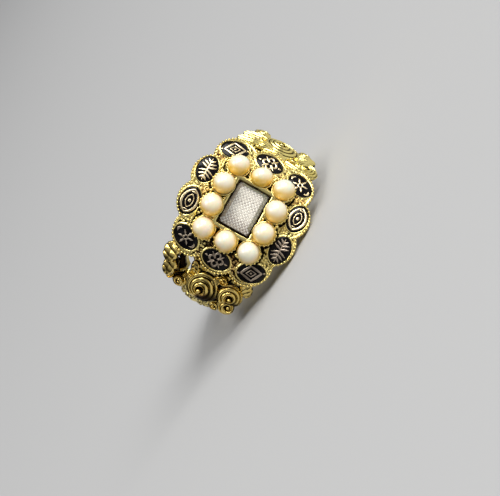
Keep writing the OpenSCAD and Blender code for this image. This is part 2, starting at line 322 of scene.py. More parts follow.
class Casting:
    """Gathers the surfaces of one piece, in ring millimetres.

    Each point also says how dark it is, which stands for oxide in a recess, for painted shade and painted
    reflection and for the hair's tone, and how matted it is, both from 0 to 1.
    """

    def __init__(self) -> None:
        """Starts an empty piece."""
        self.points: list[Array] = []
        self.faces: list[Array] = []
        self.values: dict[str, list[Array]] = {"recess": [], "matted": []}
        self.count = 0

    def add(self, points: Array, faces: Sequence[Array], recess: Any = 0.0, matted: Any = 0.0) -> None:
        """Adds a surface.

        Args:
            points: Its points, one a row.
            faces: Arrays of faces, each with one number of corners.
            recess: How dark each point is, or one value for all.
            matted: How matted each point is, or one value for all.
        """
        self.points.append(points)
        self.faces += [f + self.count for f in faces if len(f)]
        for name, value in (("recess", recess), ("matted", matted)):
            self.values[name].append(np.broadcast_to(value, len(points)))
        self.count += len(points)

    def loft(self, rings: Array, recess: Any = 0.0, matted: float = 0.0) -> None:
        """Adds closed rings joined in a row, with both ends closed.

        Args:
            rings: Rings by points a ring.
            recess: How dark each ring is, each point is, or one value.
            matted: How matted they are.
        """
        rows, columns = rings.shape[:2]
        depth = np.asarray(recess, float)
        depth = np.broadcast_to(depth[:, None] if depth.ndim == 1 else depth, (rows, columns))
        points = np.concatenate([rings.reshape(-1, 3), rings[[0, -1]].mean(1)])
        depth = np.concatenate([depth.ravel(), depth[[0, -1]].mean(1)])
        self.add(points, tube(rows, columns), depth, matted)

    def lathe(self, profile: Sequence[tuple[float, float, float]], matrix: Array, sides: int = 64) -> None:
        """Adds a turned form.

        Args:
            profile: Radius and height of each ring, and how dark it is for how deep it lies.
            matrix: From the form's own frame to the ring's.
            sides: Points a ring.
        """
        radius, height, recess = np.array(profile, float).T[..., None]
        self.loft(moved(about_axis(radius, circle(sides), height), matrix), recess)

    def beads(self, centres: Array, radius: float, sides: int = 10) -> None:
        """Adds round grains.

        Args:
            centres: The middle of each grain.
            radius: Their radius.
            sides: Points round a grain.
        """
        rows = sides // 2
        tilt = np.linspace(0, np.pi, rows + 1)[1:-1, None]
        ball = about_axis(np.sin(tilt), circle(sides), np.cos(tilt)).reshape(-1, 3)
        ball = np.vstack([ball, [[0, 0, 1], [0, 0, -1]]])
        centres = np.atleast_2d(centres)
        first = (np.arange(len(centres)) * len(ball))[:, None, None]
        faces = [(f[None] + first).reshape(-1, f.shape[1]) for f in tube(rows - 1, sides)]
        self.add((ball[None] * radius + centres[:, None]).reshape(-1, 3), faces)

    def wire(self, path: Array, out: Array, half: Any, rise: float, recess: Any = 0.0) -> None:
        """Adds a wire with an oval section and rounded ends.

        Args:
            path: Points along its middle.
            out: The direction in which its height is measured.
            half: Half its width, at each point or one value.
            rise: Half its height.
            recess: How dark it is, at each point or one value.
        """
        sides = 8
        cap = ((0.45, 0.8), (0.8, 0.5))
        ahead = unit(np.gradient(path, axis=0))
        wide = unit(np.cross(ahead, out))
        high = np.cross(wide, ahead)
        half = np.broadcast_to(half, len(path))[:, None, None]
        turn = circle(sides)[:, None]
        rings = path[:, None] + wide[:, None] * np.cos(turn) * half + high[:, None] * np.sin(turn) * rise
        start, end = (
            [path[k] + (rings[k] - path[k]) * width + way * ahead[k] * half[k, 0] * past
             for past, width in cap]
            for k, way in ((0, -1), (-1, 1))
        )
        depth = np.pad(np.broadcast_to(recess, len(path)), len(cap), mode="edge")
        self.loft(np.concatenate([start[::-1], rings, end]), depth)

    def piece(self, name: str, material: Material, slot: str = "gold", node: str = MOUNT,
              sharp: float = 50.0) -> None:
        """Makes the Blender piece and gives it its place in the frame.

        Args:
            name: Name of the piece.
            material: Its finish.
            slot: The record's slot for that finish; not used.
            node: CAD node that it stands for.
            sharp: Angle from which an edge stays sharp, in degrees.
        """
        sizes = np.concatenate([np.full(len(f), f.shape[1]) for f in self.faces])
        corners = np.concatenate([f.ravel() for f in self.faces])
        mesh = bpy.data.meshes.new(name)
        mesh.vertices.add(self.count)
        mesh.vertices.foreach_set("co", RING.world(np.concatenate(self.points)).astype(np.float32).ravel())
        mesh.loops.add(len(corners))
        mesh.loops.foreach_set("vertex_index", corners.astype(np.int32))
        mesh.polygons.add(len(sizes))
        mesh.polygons.foreach_set("loop_start", (np.cumsum(sizes) - sizes).astype(np.int32))
        mesh.update(calc_edges=True)
        for attribute, values in self.values.items():
            layer = mesh.attributes.new(attribute, "FLOAT", "POINT")
            layer.data.foreach_set("value", np.concatenate(values).astype(np.float32))
        work = bmesh.new()
        work.from_mesh(mesh)
        bmesh.ops.recalc_face_normals(work, faces=work.faces)
        work.to_mesh(mesh)
        work.free()
        mesh.polygons.foreach_set("use_smooth", np.ones(len(sizes), bool))
        mesh.set_sharp_from_angle(angle=math.radians(sharp))
        mesh.materials.append(material)
        piece = bpy.data.objects.new(name, mesh)
        bpy.context.scene.collection.objects.link(piece)
        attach(piece, BODY)
        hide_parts(node)
        log.info("%s: %d faces, for %s", name, len(sizes), node)


@dataclass
class Relief:
    """A sheet of metal in relief, as a closed mesh.

    A grid over two distances is cut along an outline, lifted by a height and closed underneath.

    Attributes:
        low: Least distances of the grid.
        high: Greatest distances of the grid.
        step: Width of a cell of the grid.
        inside: Distance inside the outline, positive in the metal.
        height: Height of the upper surface.
        under: Height of the lower surface.
        place: Points in the ring's frame from both distances and a height.
        matted: How matted the upper surface is.
        cavity: Depth below its surroundings at which a groove is wholly dark.
        around: Distance over which a groove is set against its surroundings.
        dark: Painted shade on the upper surface, apart from its grooves.
        sides: How dark the sides are.
        flutes: Number of dark grooves that run round the sides.
    """

    low: tuple[float, float]
    high: tuple[float, float]
    step: float
    inside: Field
    height: Field
    under: Field
    place: Callable[[Array, Array, Array], Array]
    matted: Field = flat(0.0)
    cavity: float = 0.14
    around: float = 0.2
    dark: Field = flat(0.0)
    sides: float = 0.3
    flutes: int = 0

    def piece(self, name: str, finish: Material) -> None:
        """Makes a gold piece of the relief alone.

        Args:
            name: Name of the piece.
            finish: Its material.
        """
        casting = Casting()
        self.cast(casting)
        casting.piece(name, finish)

    def cast(self, casting: Casting) -> None:
        """Adds the relief to a piece.

        Args:
            casting: The piece.
        """
        least, most = 0.02, 0.98
        us, vs = (np.arange(a, b + self.step, self.step) for a, b in zip(self.low, self.high))
        u, v = np.meshgrid(us, vs, indexing="ij")
        level, height = self.inside(u, v), self.height(u, v)
        surroundings = blurred(height, max(1, round(self.around / self.step)))
        groove = np.clip((surroundings - height) / self.cavity, 0, 1)
        # Darkness of the upper surface: oxide in its grooves plus painted shade.
        grid = np.stack([u, v, np.clip(groove + self.dark(u, v), 0, 1)], -1)
        solid = level > 0
        inner = int(solid.sum())
        ids = np.full(u.shape, -1)
        ids[solid] = np.arange(inner)
        rows, crossing, count = [grid[solid]], [], inner
        for a, b in ((np.s_[:-1, :], np.s_[1:, :]), (np.s_[:, :-1], np.s_[:, 1:])):
            cut = solid[a] != solid[b]
            share = np.clip(level[a][cut] / (level[a][cut] - level[b][cut]), least, most)[:, None]
            rows.append(grid[a][cut] * (1 - share) + grid[b][cut] * share)
            found = np.full(cut.shape, -1)
            found[cut] = count + np.arange(len(share))
            crossing.append(found)
            count += len(share)
        faces, rim = self._cells(solid, ids, crossing)
        self._close(casting, np.concatenate(rows), inner, faces, rim)

    @staticmethod
    def _cells(solid: Array, ids: Array, crossing: list[Array]) -> tuple[list[Array], Array]:
        """Faces of the upper surface.

        Args:
            solid: Which points of the grid lie in the metal.
            ids: Number of each such point.
            crossing: Number of the outline's point on each edge of the grid, for both directions.

        Returns:
            Arrays of faces by number of corners, and the outline's own edges.
        """
        corners = (solid[:-1, :-1], solid[1:, :-1], solid[1:, 1:], solid[:-1, 1:])
        inside = sum(corner.astype(int) for corner in corners)
        i, j = np.nonzero(inside == 4)
        whole = np.stack([ids[i, j], ids[i + 1, j], ids[i + 1, j + 1], ids[i, j + 1]], -1)
        along, across = crossing
        faces: dict[int, list[list[int]]] = {}
        rim = []
        for i, j in zip(*np.nonzero((inside > 0) & (inside < 4))):
            points = [(i, j), (i + 1, j), (i + 1, j + 1), (i, j + 1)]
            edges = [along[i, j], across[i + 1, j], along[i, j + 1], across[i, j]]
            face, left, first = [], None, None
            for k in range(4):
                here, ahead = solid[points[k]], solid[points[(k + 1) % 4]]
                if here:
                    face.append(ids[points[k]])
                if here != ahead:
                    face.append(edges[k])
                    if here:
                        left = edges[k]
                    elif left is None:
                        first = edges[k]
                    else:
                        rim.append((left, edges[k]))
                        left = None
            if first is not None:
                rim.append((left, first))
            faces.setdefault(len(face), []).append(face)
        return [whole, *map(np.array, faces.values())], np.array(rim)

    def _close(self, casting: Casting, grid: Array, inner: int, faces: list[Array], rim: Array) -> None:
        """Adds the upper and lower surfaces and the wall that joins them.

        Args:
            casting: The piece.
            grid: Both distances of every point and how deep it lies.
            inner: How many points lie inside the outline.
            faces: Faces of the upper surface.
            rim: Edges of the outline.
        """
        u, v, depth = grid.T
        top, base = self.height(u, v), self.under(u, v)
        count, edge, around = len(u), slice(inner, None), len(u) - inner
        shares = np.arange(1, 4 * self.flutes) / (4 * self.flutes) if self.flutes else np.array([0.65])
        tiers = [self.place(u[edge], v[edge], top[edge] * (1 - k) + base[edge] * k) for k in shares]
        points = np.concatenate([self.place(u, v, top), self.place(u, v, base), *tiers])
        rows = [rim, *(rim - inner + 2 * count + k * around for k in range(len(shares))), rim + count]
        walls = [np.stack([p[:, 0], q[:, 0], q[:, 1], p[:, 1]], -1) for p, q in zip(rows, rows[1:])]
        below = [f[:, ::-1] + count for f in faces]
        groove = np.repeat(self.sides + 0.65 * (1 - reed(0.5 + self.flutes * shares)), around)
        deep = np.concatenate([depth, np.zeros(count), groove])
        dull = np.concatenate([self.matted(u, v), np.zeros(count + len(groove))])
        casting.add(points, [*faces, *below, *walls], deep, dull)


# Shader building


class Shade:
    """A shader socket that takes part in Python sums, each of which lays a Math node."""

    def __init__(self, bench: "Bench", socket: bpy.types.NodeSocket | None) -> None:
        """Wraps an output socket of a bench."""
        self.bench, self.socket = bench, socket

    def _sum(self, operation: str, first: Any, second: Any) -> "Shade":
        """The result of one Math node."""
        return self.bench.node("ShaderNodeMath", {0: first, 1: second}, operation=operation)

    def __add__(self, other: Any) -> "Shade":
        """self + other."""
        return self._sum("ADD", self, other)

    def __sub__(self, other: Any) -> "Shade":
        """self - other."""
        return self._sum("SUBTRACT", self, other)

    def __rsub__(self, other: Any) -> "Shade":
        """other - self."""
        return self._sum("SUBTRACT", other, self)

    def __mul__(self, other: Any) -> "Shade":
        """self * other."""
        return self._sum("MULTIPLY", self, other)

    __radd__, __rmul__ = __add__, __mul__

    def step(self, low: float, high: float) -> "Shade":
        """A soft step from 0 to 1 as this value goes from low to high."""
        sockets = {"Value": self, "From Min": low, "From Max": high}
        return self.bench.node("ShaderNodeMapRange", sockets, interpolation_type="SMOOTHSTEP")


class Bench:
    """Lays the nodes of one material or of the world."""

    def __init__(self, tree: bpy.types.NodeTree) -> None:
        """Clears a node tree and works on it."""
        self.tree = tree
        tree.nodes.clear()

    def node(self, kind: str, sockets: dict[Any, Any] | None = None, output: Any = 0,
             **settings: Any) -> Shade:
        """Lays any node.

        Args:
            kind: The node's type.
            sockets: Values or links of its sockets, by name or number.
            output: Name or number of the output that is wanted.
            **settings: Its settings, such as a Math node's operation, which are set first.

        Returns:
            That output.
        """
        node = self.tree.nodes.new(kind)
        for key, value in settings.items():
            setattr(node, key, value)
        for key, value in (sockets or {}).items():
            if isinstance(value, Shade):
                self.tree.links.new(value.socket, node.inputs[key])
            else:
                node.inputs[key].default_value = value
        return Shade(self, node.outputs[output] if len(node.outputs) else None)

    def millimetres(self) -> Shade:
        """Place on the object, in millimetres."""
        place = self.node("ShaderNodeTexCoord", output="Object")
        return self.node("ShaderNodeVectorMath", {0: place, "Scale": 1 / MM}, operation="SCALE")

    def attribute(self, name: str) -> Shade:
        """A value that the mesh carries."""
        return self.node("ShaderNodeAttribute", output="Fac", attribute_name=name)

    def noise(self, place: Shade, size: float, detail: float = 3.0, roughness: float = 0.55) -> Shade:
        """Uneven values about 0.5, in spots of a size in millimetres, with finer layers on them."""
        sockets = {"Vector": place, "Scale": 1 / size, "Detail": detail, "Roughness": roughness}
        return self.node("ShaderNodeTexNoise", sockets)

    def squeezed(self, place: Shade, scale: tuple[float, float, float]) -> Shade:
        """A place with its axes scaled, for spots that are longer one way."""
        return self.node("ShaderNodeMapping", {0: place, "Scale": scale})

    def along(self, vector: Shade, way: Any) -> Shade:
        """How far a vector points in a direction of the ring's frame."""
        sockets = {0: vector, 1: tuple(RING.turned(way))}
        return self.node("ShaderNodeVectorMath", sockets, "Value", operation="DOT_PRODUCT")

    def blend(self, share: Any, first: Any, second: Any) -> Shade:
        """A colour between two colours."""
        return self.node("ShaderNodeMix", {0: share, 6: first, 7: second}, 2, data_type="RGBA")

    def bump(self, height: Shade, depth: float, strength: float) -> Shade:
        """A normal from a height of 0 to 1 that stands for a depth in millimetres."""
        return self.node("ShaderNodeBump", {"Height": height, "Distance": depth * MM, "Strength": strength})


# Finishes


@dataclass(frozen=True)
class Finish:
    """One finish, which works out the values of the surface shader."""

    name: str

    def material(self) -> Material:
        """A new material with this finish.

        Returns:
            The material.
        """
        material = bpy.data.materials.new(self.name)
        material.use_nodes = True
        bench = Bench(material.node_tree)
        shader = bench.node("ShaderNodeBsdfPrincipled", self.surface(bench))
        bench.node("ShaderNodeOutputMaterial", {"Surface": shader})
        return material

    def surface(self, bench: Bench) -> dict[str, Any]:
        """Values or links of the surface shader's sockets, by name."""
        raise NotImplementedError


@dataclass(frozen=True)
class GoldFinish(Finish):
    """Gold with a polish, a matted ground, and dark oxide in its recesses with painted shade on top."""

    name: str = "gold_polished"
    color: Color = (0.87, 0.72, 0.27, 1)
    warm: Color = (0.84, 0.56, 0.18, 1)
    copper: Color = (0.5, 0.2, 0.06, 1)
    # Colour of the oxide in the hollows and of the painted shade.
    deep: Color = (0.016, 0.009, 0.004, 1)
    roughness: float = 0.13
    grain: float = 0.14
    recess_from: float = 0.2
    recess_to: float = 0.85

    def surface(self, bench: Bench) -> dict[str, Any]:
        """Colour and polish that follow the recesses and the painted shade that the piece carries, the matted
        ground and fine scratches.

        Args:
            bench: The material's bench.

        Returns:
            Values or links of the surface shader's sockets, by name.
        """
        place = bench.millimetres()
        recess = bench.attribute("recess").step(self.recess_from, self.recess_to)
        matted = bench.attribute("matted")
        tone = bench.noise(place, 2.4, 3).step(0.42, 0.72)
        patch = bench.noise(place, 0.55, 4)
        scratch = bench.noise(bench.squeezed(place, (1.2, 9.0, 1.2)), 0.5, 5, 0.7)
        cells = bench.node("ShaderNodeTexVoronoi", {"Vector": place, "Scale": 1 / self.grain}, "Distance")
        punch = cells.step(0.1, 0.75)
        # Dark share from oxide in the hollows and painted shade that the mesh carries, and from the punched
        # ground.
        dark = recess + matted * punch * 0.36
        color = bench.blend(tone * 0.35, self.color, self.warm)
        color = bench.blend(dark.step(0.05, 0.6) * tone.step(0.0, 0.6) * 0.75, color, self.copper)
        height = matted * (1 - punch) * 0.9 + scratch * 0.1 + patch * 0.18
        return {
            "Base Color": bench.blend(dark.step(0.1, 0.95), color, self.deep),
            "Metallic": 1.0,
            "Roughness": self.roughness + patch * 0.08 + scratch * 0.06 + matted * 0.08 + recess * 0.3,
            "Normal": bench.bump(height, 0.045, 0.8),
        }


GOLD = GoldFinish()
# Lit and shaded copies of the gold, as painted light: the first for the scrolls of the far shoulder, which
# faces the key light, the second for those of the near shoulder, which faces away from it.
PAINTED_LIT_GOLD = GoldFinish("gold_painted_lit", (0.9, 0.77, 0.27, 1), (0.88, 0.62, 0.2, 1), recess_from=0.04, recess_to=0.42)
PAINTED_SHADE_GOLD = GoldFinish("gold_painted_shade", (0.82, 0.62, 0.19, 1), (0.74, 0.48, 0.13, 1), roughness=0.1,
                   recess_from=0.02, recess_to=0.62)
INLAY = GoldFinish("gold_inlay", (0.97, 0.8, 0.48, 1), (0.92, 0.7, 0.4, 1), roughness=0.2)
# Inlay painted darker and duller as shade, for the motifs on the side away from the key light.
PAINTED_SHADE_INLAY = GoldFinish("gold_inlay_painted_shade", (0.46, 0.38, 0.29, 1), (0.4, 0.29, 0.22, 1), roughness=0.3)


@dataclass(frozen=True)
class EnamelFinish(Finish):
    """Glossy black enamel with fine pits and a soft unevenness."""

    name: str = "enamel_black"
    color: Color = (0.004, 0.0035, 0.004, 1)
    haze: Color = (0.012, 0.011, 0.012, 1)

    def surface(self, bench: Bench) -> dict[str, Any]:
        """A dark gloss, clouded and pitted a little.

        Args:
            bench: The material's bench.

        Returns:
            Values or links of the surface shader's sockets, by name.
        """
        place = bench.millimetres()
        cloud = bench.noise(place, 0.8, 4)
        pits = bench.noise(place, 0.12, 2).step(0.66, 0.74)
        wave = bench.noise(place, 0.9, 2)
        return {
            "Base Color": bench.blend(cloud.step(0.5, 0.8), self.color, self.haze),
            "Roughness": 0.05 + cloud * 0.1 + pits * 0.2,
            "IOR": 1.5,
            "Specular IOR Level": 0.13,
            "Normal": bench.bump(wave - pits * 0.3, 0.04, 0.6),
        }


@dataclass(frozen=True)
class NacreFinish(Finish):
    """Cream nacre, rosy and mint in soft spots, with a painted reflection of the cup's gold low down and on
    the side away from the key light.
    """

    name: str = "pearl_nacre"
    cream: Color = (0.9, 0.78, 0.5, 1)
    rose: Color = (0.93, 0.75, 0.56, 1)
    mint: Color = (0.66, 0.84, 0.68, 1)
    white: Color = (0.7, 0.78, 0.68, 1)
    # Colour of the painted reflection of the cup's gold.
    gold: Color = (1.0, 0.6, 0.04, 1)

    def surface(self, bench: Bench) -> dict[str, Any]:
        """Tints in soft spots, a painted reflection of the cup's gold low down and on the shaded side, and a
        clear skin over all.

        Args:
            bench: The material's bench.

        Returns:
            Values or links of the surface shader's sockets, by name.
        """
        place = bench.millimetres()
        spot = bench.noise(place, 0.7, 3)
        fine = bench.noise(place, 0.08, 3)
        low = bench.attribute("recess")
        color = bench.blend(spot.step(0.42, 0.62), self.cream, self.rose)
        color = bench.blend(bench.noise(place, 0.9, 2).step(0.5, 0.68) * 0.6, color, self.mint)
        # Painted reflection of the gold, low down and on the side away from the key light.
        color = bench.blend(low, color, self.gold)
        return {
            "Base Color": bench.blend(bench.attribute("matted") * (1.0 - low * 0.5), color, self.white),
            "Roughness": 0.26 + spot * 0.12,
            "IOR": 1.65,
            "Subsurface Weight": 0.08,
            "Subsurface Radius": (0.8, 0.55, 0.35),
            "Subsurface Scale": 0.5 * MM,
            "Coat Weight": 1.0,
            "Coat Roughness": 0.24,
            "Coat IOR": 1.7,
            "Normal": bench.bump(spot * 0.7 + fine * 0.15, 0.03, 0.5),
        }


@dataclass(frozen=True)
class CrystalFinish(Finish):
    """Clear crystal whose grey bevels carry painted light: greener as lit on two sides, beige as shaded on
    the others, and clear at the near end.
    """

    name: str = "crystal_flat_cut"
    clear: Color = (0.96, 0.97, 0.95, 1)
    painted_lit_bevel: Color = (0.14, 0.16, 0.12, 1)
    painted_shade_bevel: Color = (0.15, 0.135, 0.11, 1)

    def surface(self, bench: Bench) -> dict[str, Any]:
        """A clear table and near end between grey bevels that are painted lit and shaded by the way they
        face, with faint scuffs.

        Args:
            bench: The material's bench.

        Returns:
            Values or links of the surface shader's sockets, by name.
        """
        normal = bench.node("ShaderNodeNewGeometry", output="True Normal")
        facing = bench.along(normal, (0, 0, 1))
        table = (facing * facing).step(0.81, 0.97)
        # Painted light on the bevels: the near end is painted clear, and the sides painted lit and shaded by
        # the way they face.
        clear = table + bench.along(normal, (-1, 0, 0)).step(0.2, 0.38) * 0.85
        side = bench.along(normal, (0.4, -0.9, 0)).step(-0.25, 0.3)
        scuff = bench.noise(bench.millimetres(), 0.6, 5).step(0.55, 0.8)
        return {
            "Base Color": bench.blend(clear, bench.blend(side, self.painted_shade_bevel, self.painted_lit_bevel), self.clear),
            "Roughness": 0.03 + scuff * 0.12,
            "IOR": 1.5,
            "Alpha": 0.72 - clear * 0.64 + scuff * 0.02,
            "Coat Weight": 0.4,
            "Coat Roughness": 0.03,
        }


@dataclass(frozen=True)
class HairFinish(Finish):
    """Fine woven hair, silvery where the strands catch light."""

    name: str = "hair_woven"
    pale: Color = (1.0, 0.95, 0.82, 1)
    brown: Color = (0.2, 0.13, 0.08, 1)

    def surface(self, bench: Bench) -> dict[str, Any]:
        """A tone that changes from strand to strand, streaked along them.

        Args:
            bench: The material's bench.

        Returns:
            Values or links of the surface shader's sockets, by name.
        """
        place = bench.millimetres()
        streak = bench.noise(bench.squeezed(place, (1.0, 8.0, 8.0)), 0.35, 4)
        tone = bench.noise(place, 1.1, 3)
        share = bench.attribute("recess") * 0.9 + streak.step(0.45, 0.8) * 0.35 + tone * 0.25 - 0.16
        return {
            "Base Color": bench.blend(share.step(0.0, 1.0), self.pale, self.brown),
            "Roughness": 0.34 + tone * 0.2,
            "Sheen Weight": 0.3,
            "Sheen Roughness": 0.3,
            "Specular IOR Level": 0.7,
            "Normal": bench.bump(streak, 0.02, 0.7),
        }


@dataclass(frozen=True)
class FloorFinish(Finish):
    """Plain pale floor."""

    name: str = "floor_pale"
    color: Color = (0.5, 0.5, 0.495, 1)

    def surface(self, bench: Bench) -> dict[str, Any]:
        """A dull pale colour."""
        return {"Base Color": self.color, "Roughness": 0.75, "Specular IOR Level": 0.3}


# Band


@dataclass
class Band:
    """The plain hoop behind the shoulders, which slims a little towards them."""

    width: float = 4.0
    thickness: float = 1.1
    edge: float = 0.75
    start: float = 98.0
    run_in: float = 12.0
    rounding: float = 0.16
    inner_rounding: float = 0.08
    steps: int = 150

    def section(self) -> Array:
        """Outline of the band.

        Returns:
            Distance across and height over the finger hole, round the section.
        """
        half, r, s = self.width / 2, self.rounding, self.inner_rounding
        across = np.linspace(-half + r, half - r, 25)
        crown = self.edge + (self.thickness - self.edge) * (1 - (across / half) ** 2)
        turn = np.linspace(0, np.pi / 2, 5)
        outer = [(half - r + r * math.sin(t), self.edge - r + r * math.cos(t) + 0.02) for t in turn[1:]]
        inner = [(half - s + s * math.cos(t), s - s * math.sin(t)) for t in turn]
        left = [(-a, h) for a, h in reversed(outer + inner)]
        return np.array([*zip(across, crown), *outer, *inner, *left])

    def build(self, finish: Material) -> None:
        """Makes the band.

        Args:
            finish: Its material.
        """
        across, height = self.section().T
        angle = np.linspace(self.start, 360 - self.start, self.steps)[:, None]
        into = smooth(np.minimum(angle - self.start, 360 - self.start - angle) / self.run_in)
        radius = RING.bore_r + 0.003 + height * (0.86 + 0.14 * into)
        casting = Casting()
        casting.loft(RING.on_hoop(1, RING.along(angle), across * (0.9 + 0.1 * into), radius))
        casting.piece("band_plain", finish)


# Shoulders


SIDE_SLOPE, EDGE_DROP, EDGE_WIDTH = 3.2, 0.12, 0.14  # fall of a form's sides and of its rounded edge


@dataclass(frozen=True)
class Ornament:
    """One form of the scrollwork, placed by its angle from the head and its distance across."""

    angle: float
    across: float

    def local(self, u: Array, v: Array) -> tuple[Array, Array]:
        """Distances from its middle, away from the head and across."""
        return u - RING.along(self.angle), v - self.across

    def edge(self, u: Array, v: Array) -> Array:
        """Distance inside its outline, negative outside."""
        raise NotImplementedError

    def face(self, u: Array, v: Array) -> Array:
        """Height of its face over the wall."""
        raise NotImplementedError

    def shadow(self, u: Array, v: Array) -> Array:
        """Painted shade on its face."""
        return np.zeros_like(u)

    def height(self, u: Array, v: Array) -> Array:
        """Height with a rounded edge and steep sides beyond its outline.

        Args:
            u: Distances away from the head.
            v: Distances across the band.

        Returns:
            The height over the wall, which falls on outside the form.
        """
        inside = self.edge(u, v)
        rounding = EDGE_DROP * (1 - smooth(inside / EDGE_WIDTH))
        return self.face(u, v) + np.minimum(inside, 0) * SIDE_SLOPE - rounding


@dataclass(frozen=True)
class Volute(Ornament):
    """A scroll whose reeds wind in to a bead, wider on one side.

    Attributes:
        radius: Reach of its widest side.
        rise: Height of its middle.
        wide: Direction of its widest side, in degrees.
        hand: Which way its reeds wind.
        reeds: Turns of reed from the middle to the edge.
        off: Share by which its narrow side is drawn in.
        reed_h: Height of a reed.
        well: Depth of the well round the bead.
        dome: Share by which its edge stands lower than its middle.
        stretch: How much longer it is across the band.
        fade: Share by which its reeds die away on one side.
        fade_way: Direction of that side, in degrees.
    """

    radius: float = 1.0
    rise: float = 0.5
    wide: float = 180.0
    hand: int = 1
    reeds: float = 3.0
    off: float = 0.3
    reed_h: float = 0.17
    well: float = 0.12
    dome: float = 0.3
    stretch: float = 1.0
    fade: float = 0.0
    fade_way: float = 320.0

    def size(self) -> float:
        """Greatest distance of its outline from its middle."""
        return self.radius * self.stretch

    def polar(self, u: Array, v: Array) -> tuple[Array, Array, Array]:
        """Places as seen from its middle.

        Args:
            u: Distances away from the head.
            v: Distances across the band.

        Returns:
            Distance, direction and reach of the outline that way.
        """
        a, b = self.local(u, v)
        b = b / self.stretch
        turn = np.arctan2(b, a) - math.radians(self.wide)
        return np.hypot(a, b), turn, self.radius * (1 - self.off * (1 - np.cos(turn)) / 2)

    def worn(self, turn: Array) -> Array:
        """Share by which its reeds have died away in a direction."""
        return self.fade * smooth((0.1 + np.cos(turn + math.radians(self.wide - self.fade_way))) / 1.05)

    def edge(self, u: Array, v: Array) -> Array:
        """Distance inside its outline."""
        far, _, reach = self.polar(u, v)
        return reach - far

    def face(self, u: Array, v: Array) -> Array:
        """Height of its face over the wall.

        Args:
            u: Distances away from the head.
            v: Distances across the band.

        Returns:
            The height, with its reeds, its well and its bead.
        """
        far, turn, reach = self.polar(u, v)
        share = far / reach
        bead = 0.5 * self.radius / self.reeds
        grain = np.sqrt(np.maximum(0, bead**2 - far**2)) * 1.3 - 0.08
        out = smooth((share * self.reeds - 0.75) / 0.35)
        worn = self.worn(turn)
        wound = reed(self.reeds * share + self.hand * turn / (2 * np.pi))
        ridges = self.reed_h * wound * out * (1 - 0.45 * worn) - self.well * (1 - out)
        return self.rise * (1 - self.dome * share**2) - 0.35 * worn * share + np.maximum(ridges, grain)

    def shadow(self, u: Array, v: Array) -> Array:
        """Painted shade on its face, where its reeds have died away."""
        far, turn, reach = self.polar(u, v)
        return self.worn(turn) * smooth((far / reach - 0.2) / 0.3) * 0.5


@dataclass(frozen=True)
class Leaf(Ornament):
    """A bent leaf with slanting ribs, from its base at the place to its tip.

    Attributes:
        length: Distance from base to tip.
        width: Its greatest width.
        turn: Direction in which it points, in degrees.
        bend: Distance by which its tip is bent aside.
        ribs: Number of ribs along it.
        rise: Height of its spine.
        rib_h: Height of a rib.
        twist: Slant of ribs that run on over the spine, or 0 for ribs that meet on it.
    """

    length: float = 2.0
    width: float = 1.0
    turn: float = 0.0
    bend: float = 0.0
    ribs: float = 5.0
    rise: float = 0.4
    rib_h: float = 0.13
    twist: float = 0.0

    def size(self) -> float:
        """Greatest distance of its outline from its base."""
        return self.length

    def spine(self, u: Array, v: Array) -> tuple[Array, Array, Array]:
        """Places as seen along its bent spine.

        Args:
            u: Distances away from the head.
            v: Distances across the band.

        Returns:
            Share of the length, distance off the spine and half width there.
        """
        x, y = swung(*self.local(u, v), self.turn)
        share = x / self.length
        within = np.clip(share, 0, 1)
        return share, y - self.bend * share**2, self.width * np.sqrt(within**0.8 * (1 - within))

    def edge(self, u: Array, v: Array) -> Array:
        """Distance inside its outline.

        Args:
            u: Distances away from the head.
            v: Distances across the band.

        Returns:
            The distance, negative outside.
        """
        share, off, half = self.spine(u, v)
        past = np.maximum(share - 1, -share) * self.length
        return np.where(past > 0, -np.hypot(past, off), half - np.abs(off))

    def face(self, u: Array, v: Array) -> Array:
        """Height of its face over the wall.

        Args:
            u: Distances away from the head.
            v: Distances across the band.

        Returns:
            The height, with its swell and its ribs.
        """
        share, off, half = self.spine(u, v)
        side = np.clip(np.abs(off) / np.maximum(half, 0.05), 0, 1)
        slanted = self.twist * off if self.twist else 1.4 * np.abs(off)
        swell = np.sqrt(1 - 0.7 * side**2) * (0.55 + 0.45 * np.sin(np.pi * np.clip(share, 0, 1) ** 1.3))
        ribbed = reed(self.ribs * share + slanted / self.width) * (0.4 + 0.6 * side)
        return self.rise * swell + self.rib_h * ribbed


@dataclass(frozen=True)
class Curl(Ornament):
    """A reeded band along an arc from start to end, in degrees, slimmer at its end."""

    radius: float = 1.2
    start: float = 0.0
    end: float = 180.0
    width: float = 0.55
    reeds: int = 2
    reed_h: float = 0.14
    rise: float = 0.28
    slimming: float = 0.45

    def ring(self, u: Array, v: Array) -> tuple[Array, Array, Array]:
        """Places as seen along its arc.

        Args:
            u: Distances away from the head.
            v: Distances across the band.

        Returns:
            Distance off the arc, place along it from -1 to 1 and half width there.
        """
        a, b = self.local(u, v)
        middle, span = (self.start + self.end) / 2, (self.end - self.start) / 2
        share = ((np.degrees(np.arctan2(b, a)) - middle + 180) % 360 - 180) / span
        half = self.width / 2 * (1 - self.slimming * np.clip((share + 1) / 2, 0, 1))
        return np.hypot(a, b) - self.radius, share, half

    def edge(self, u: Array, v: Array) -> Array:
        """Distance inside its outline.

        Args:
            u: Distances away from the head.
            v: Distances across the band.

        Returns:
            The distance, negative outside.
        """
        off, share, half = self.ring(u, v)
        past = (np.abs(share) - 1) * math.radians(self.end - self.start) / 2 * self.radius
        return half - np.hypot(np.maximum(past, 0), off)

    def face(self, u: Array, v: Array) -> Array:
        """Height of its face over the wall."""
        off, _, half = self.ring(u, v)
        return self.rise + self.reed_h * reed((np.clip(off / half, -1, 1) + 1) / 2 * self.reeds - 1e-6)


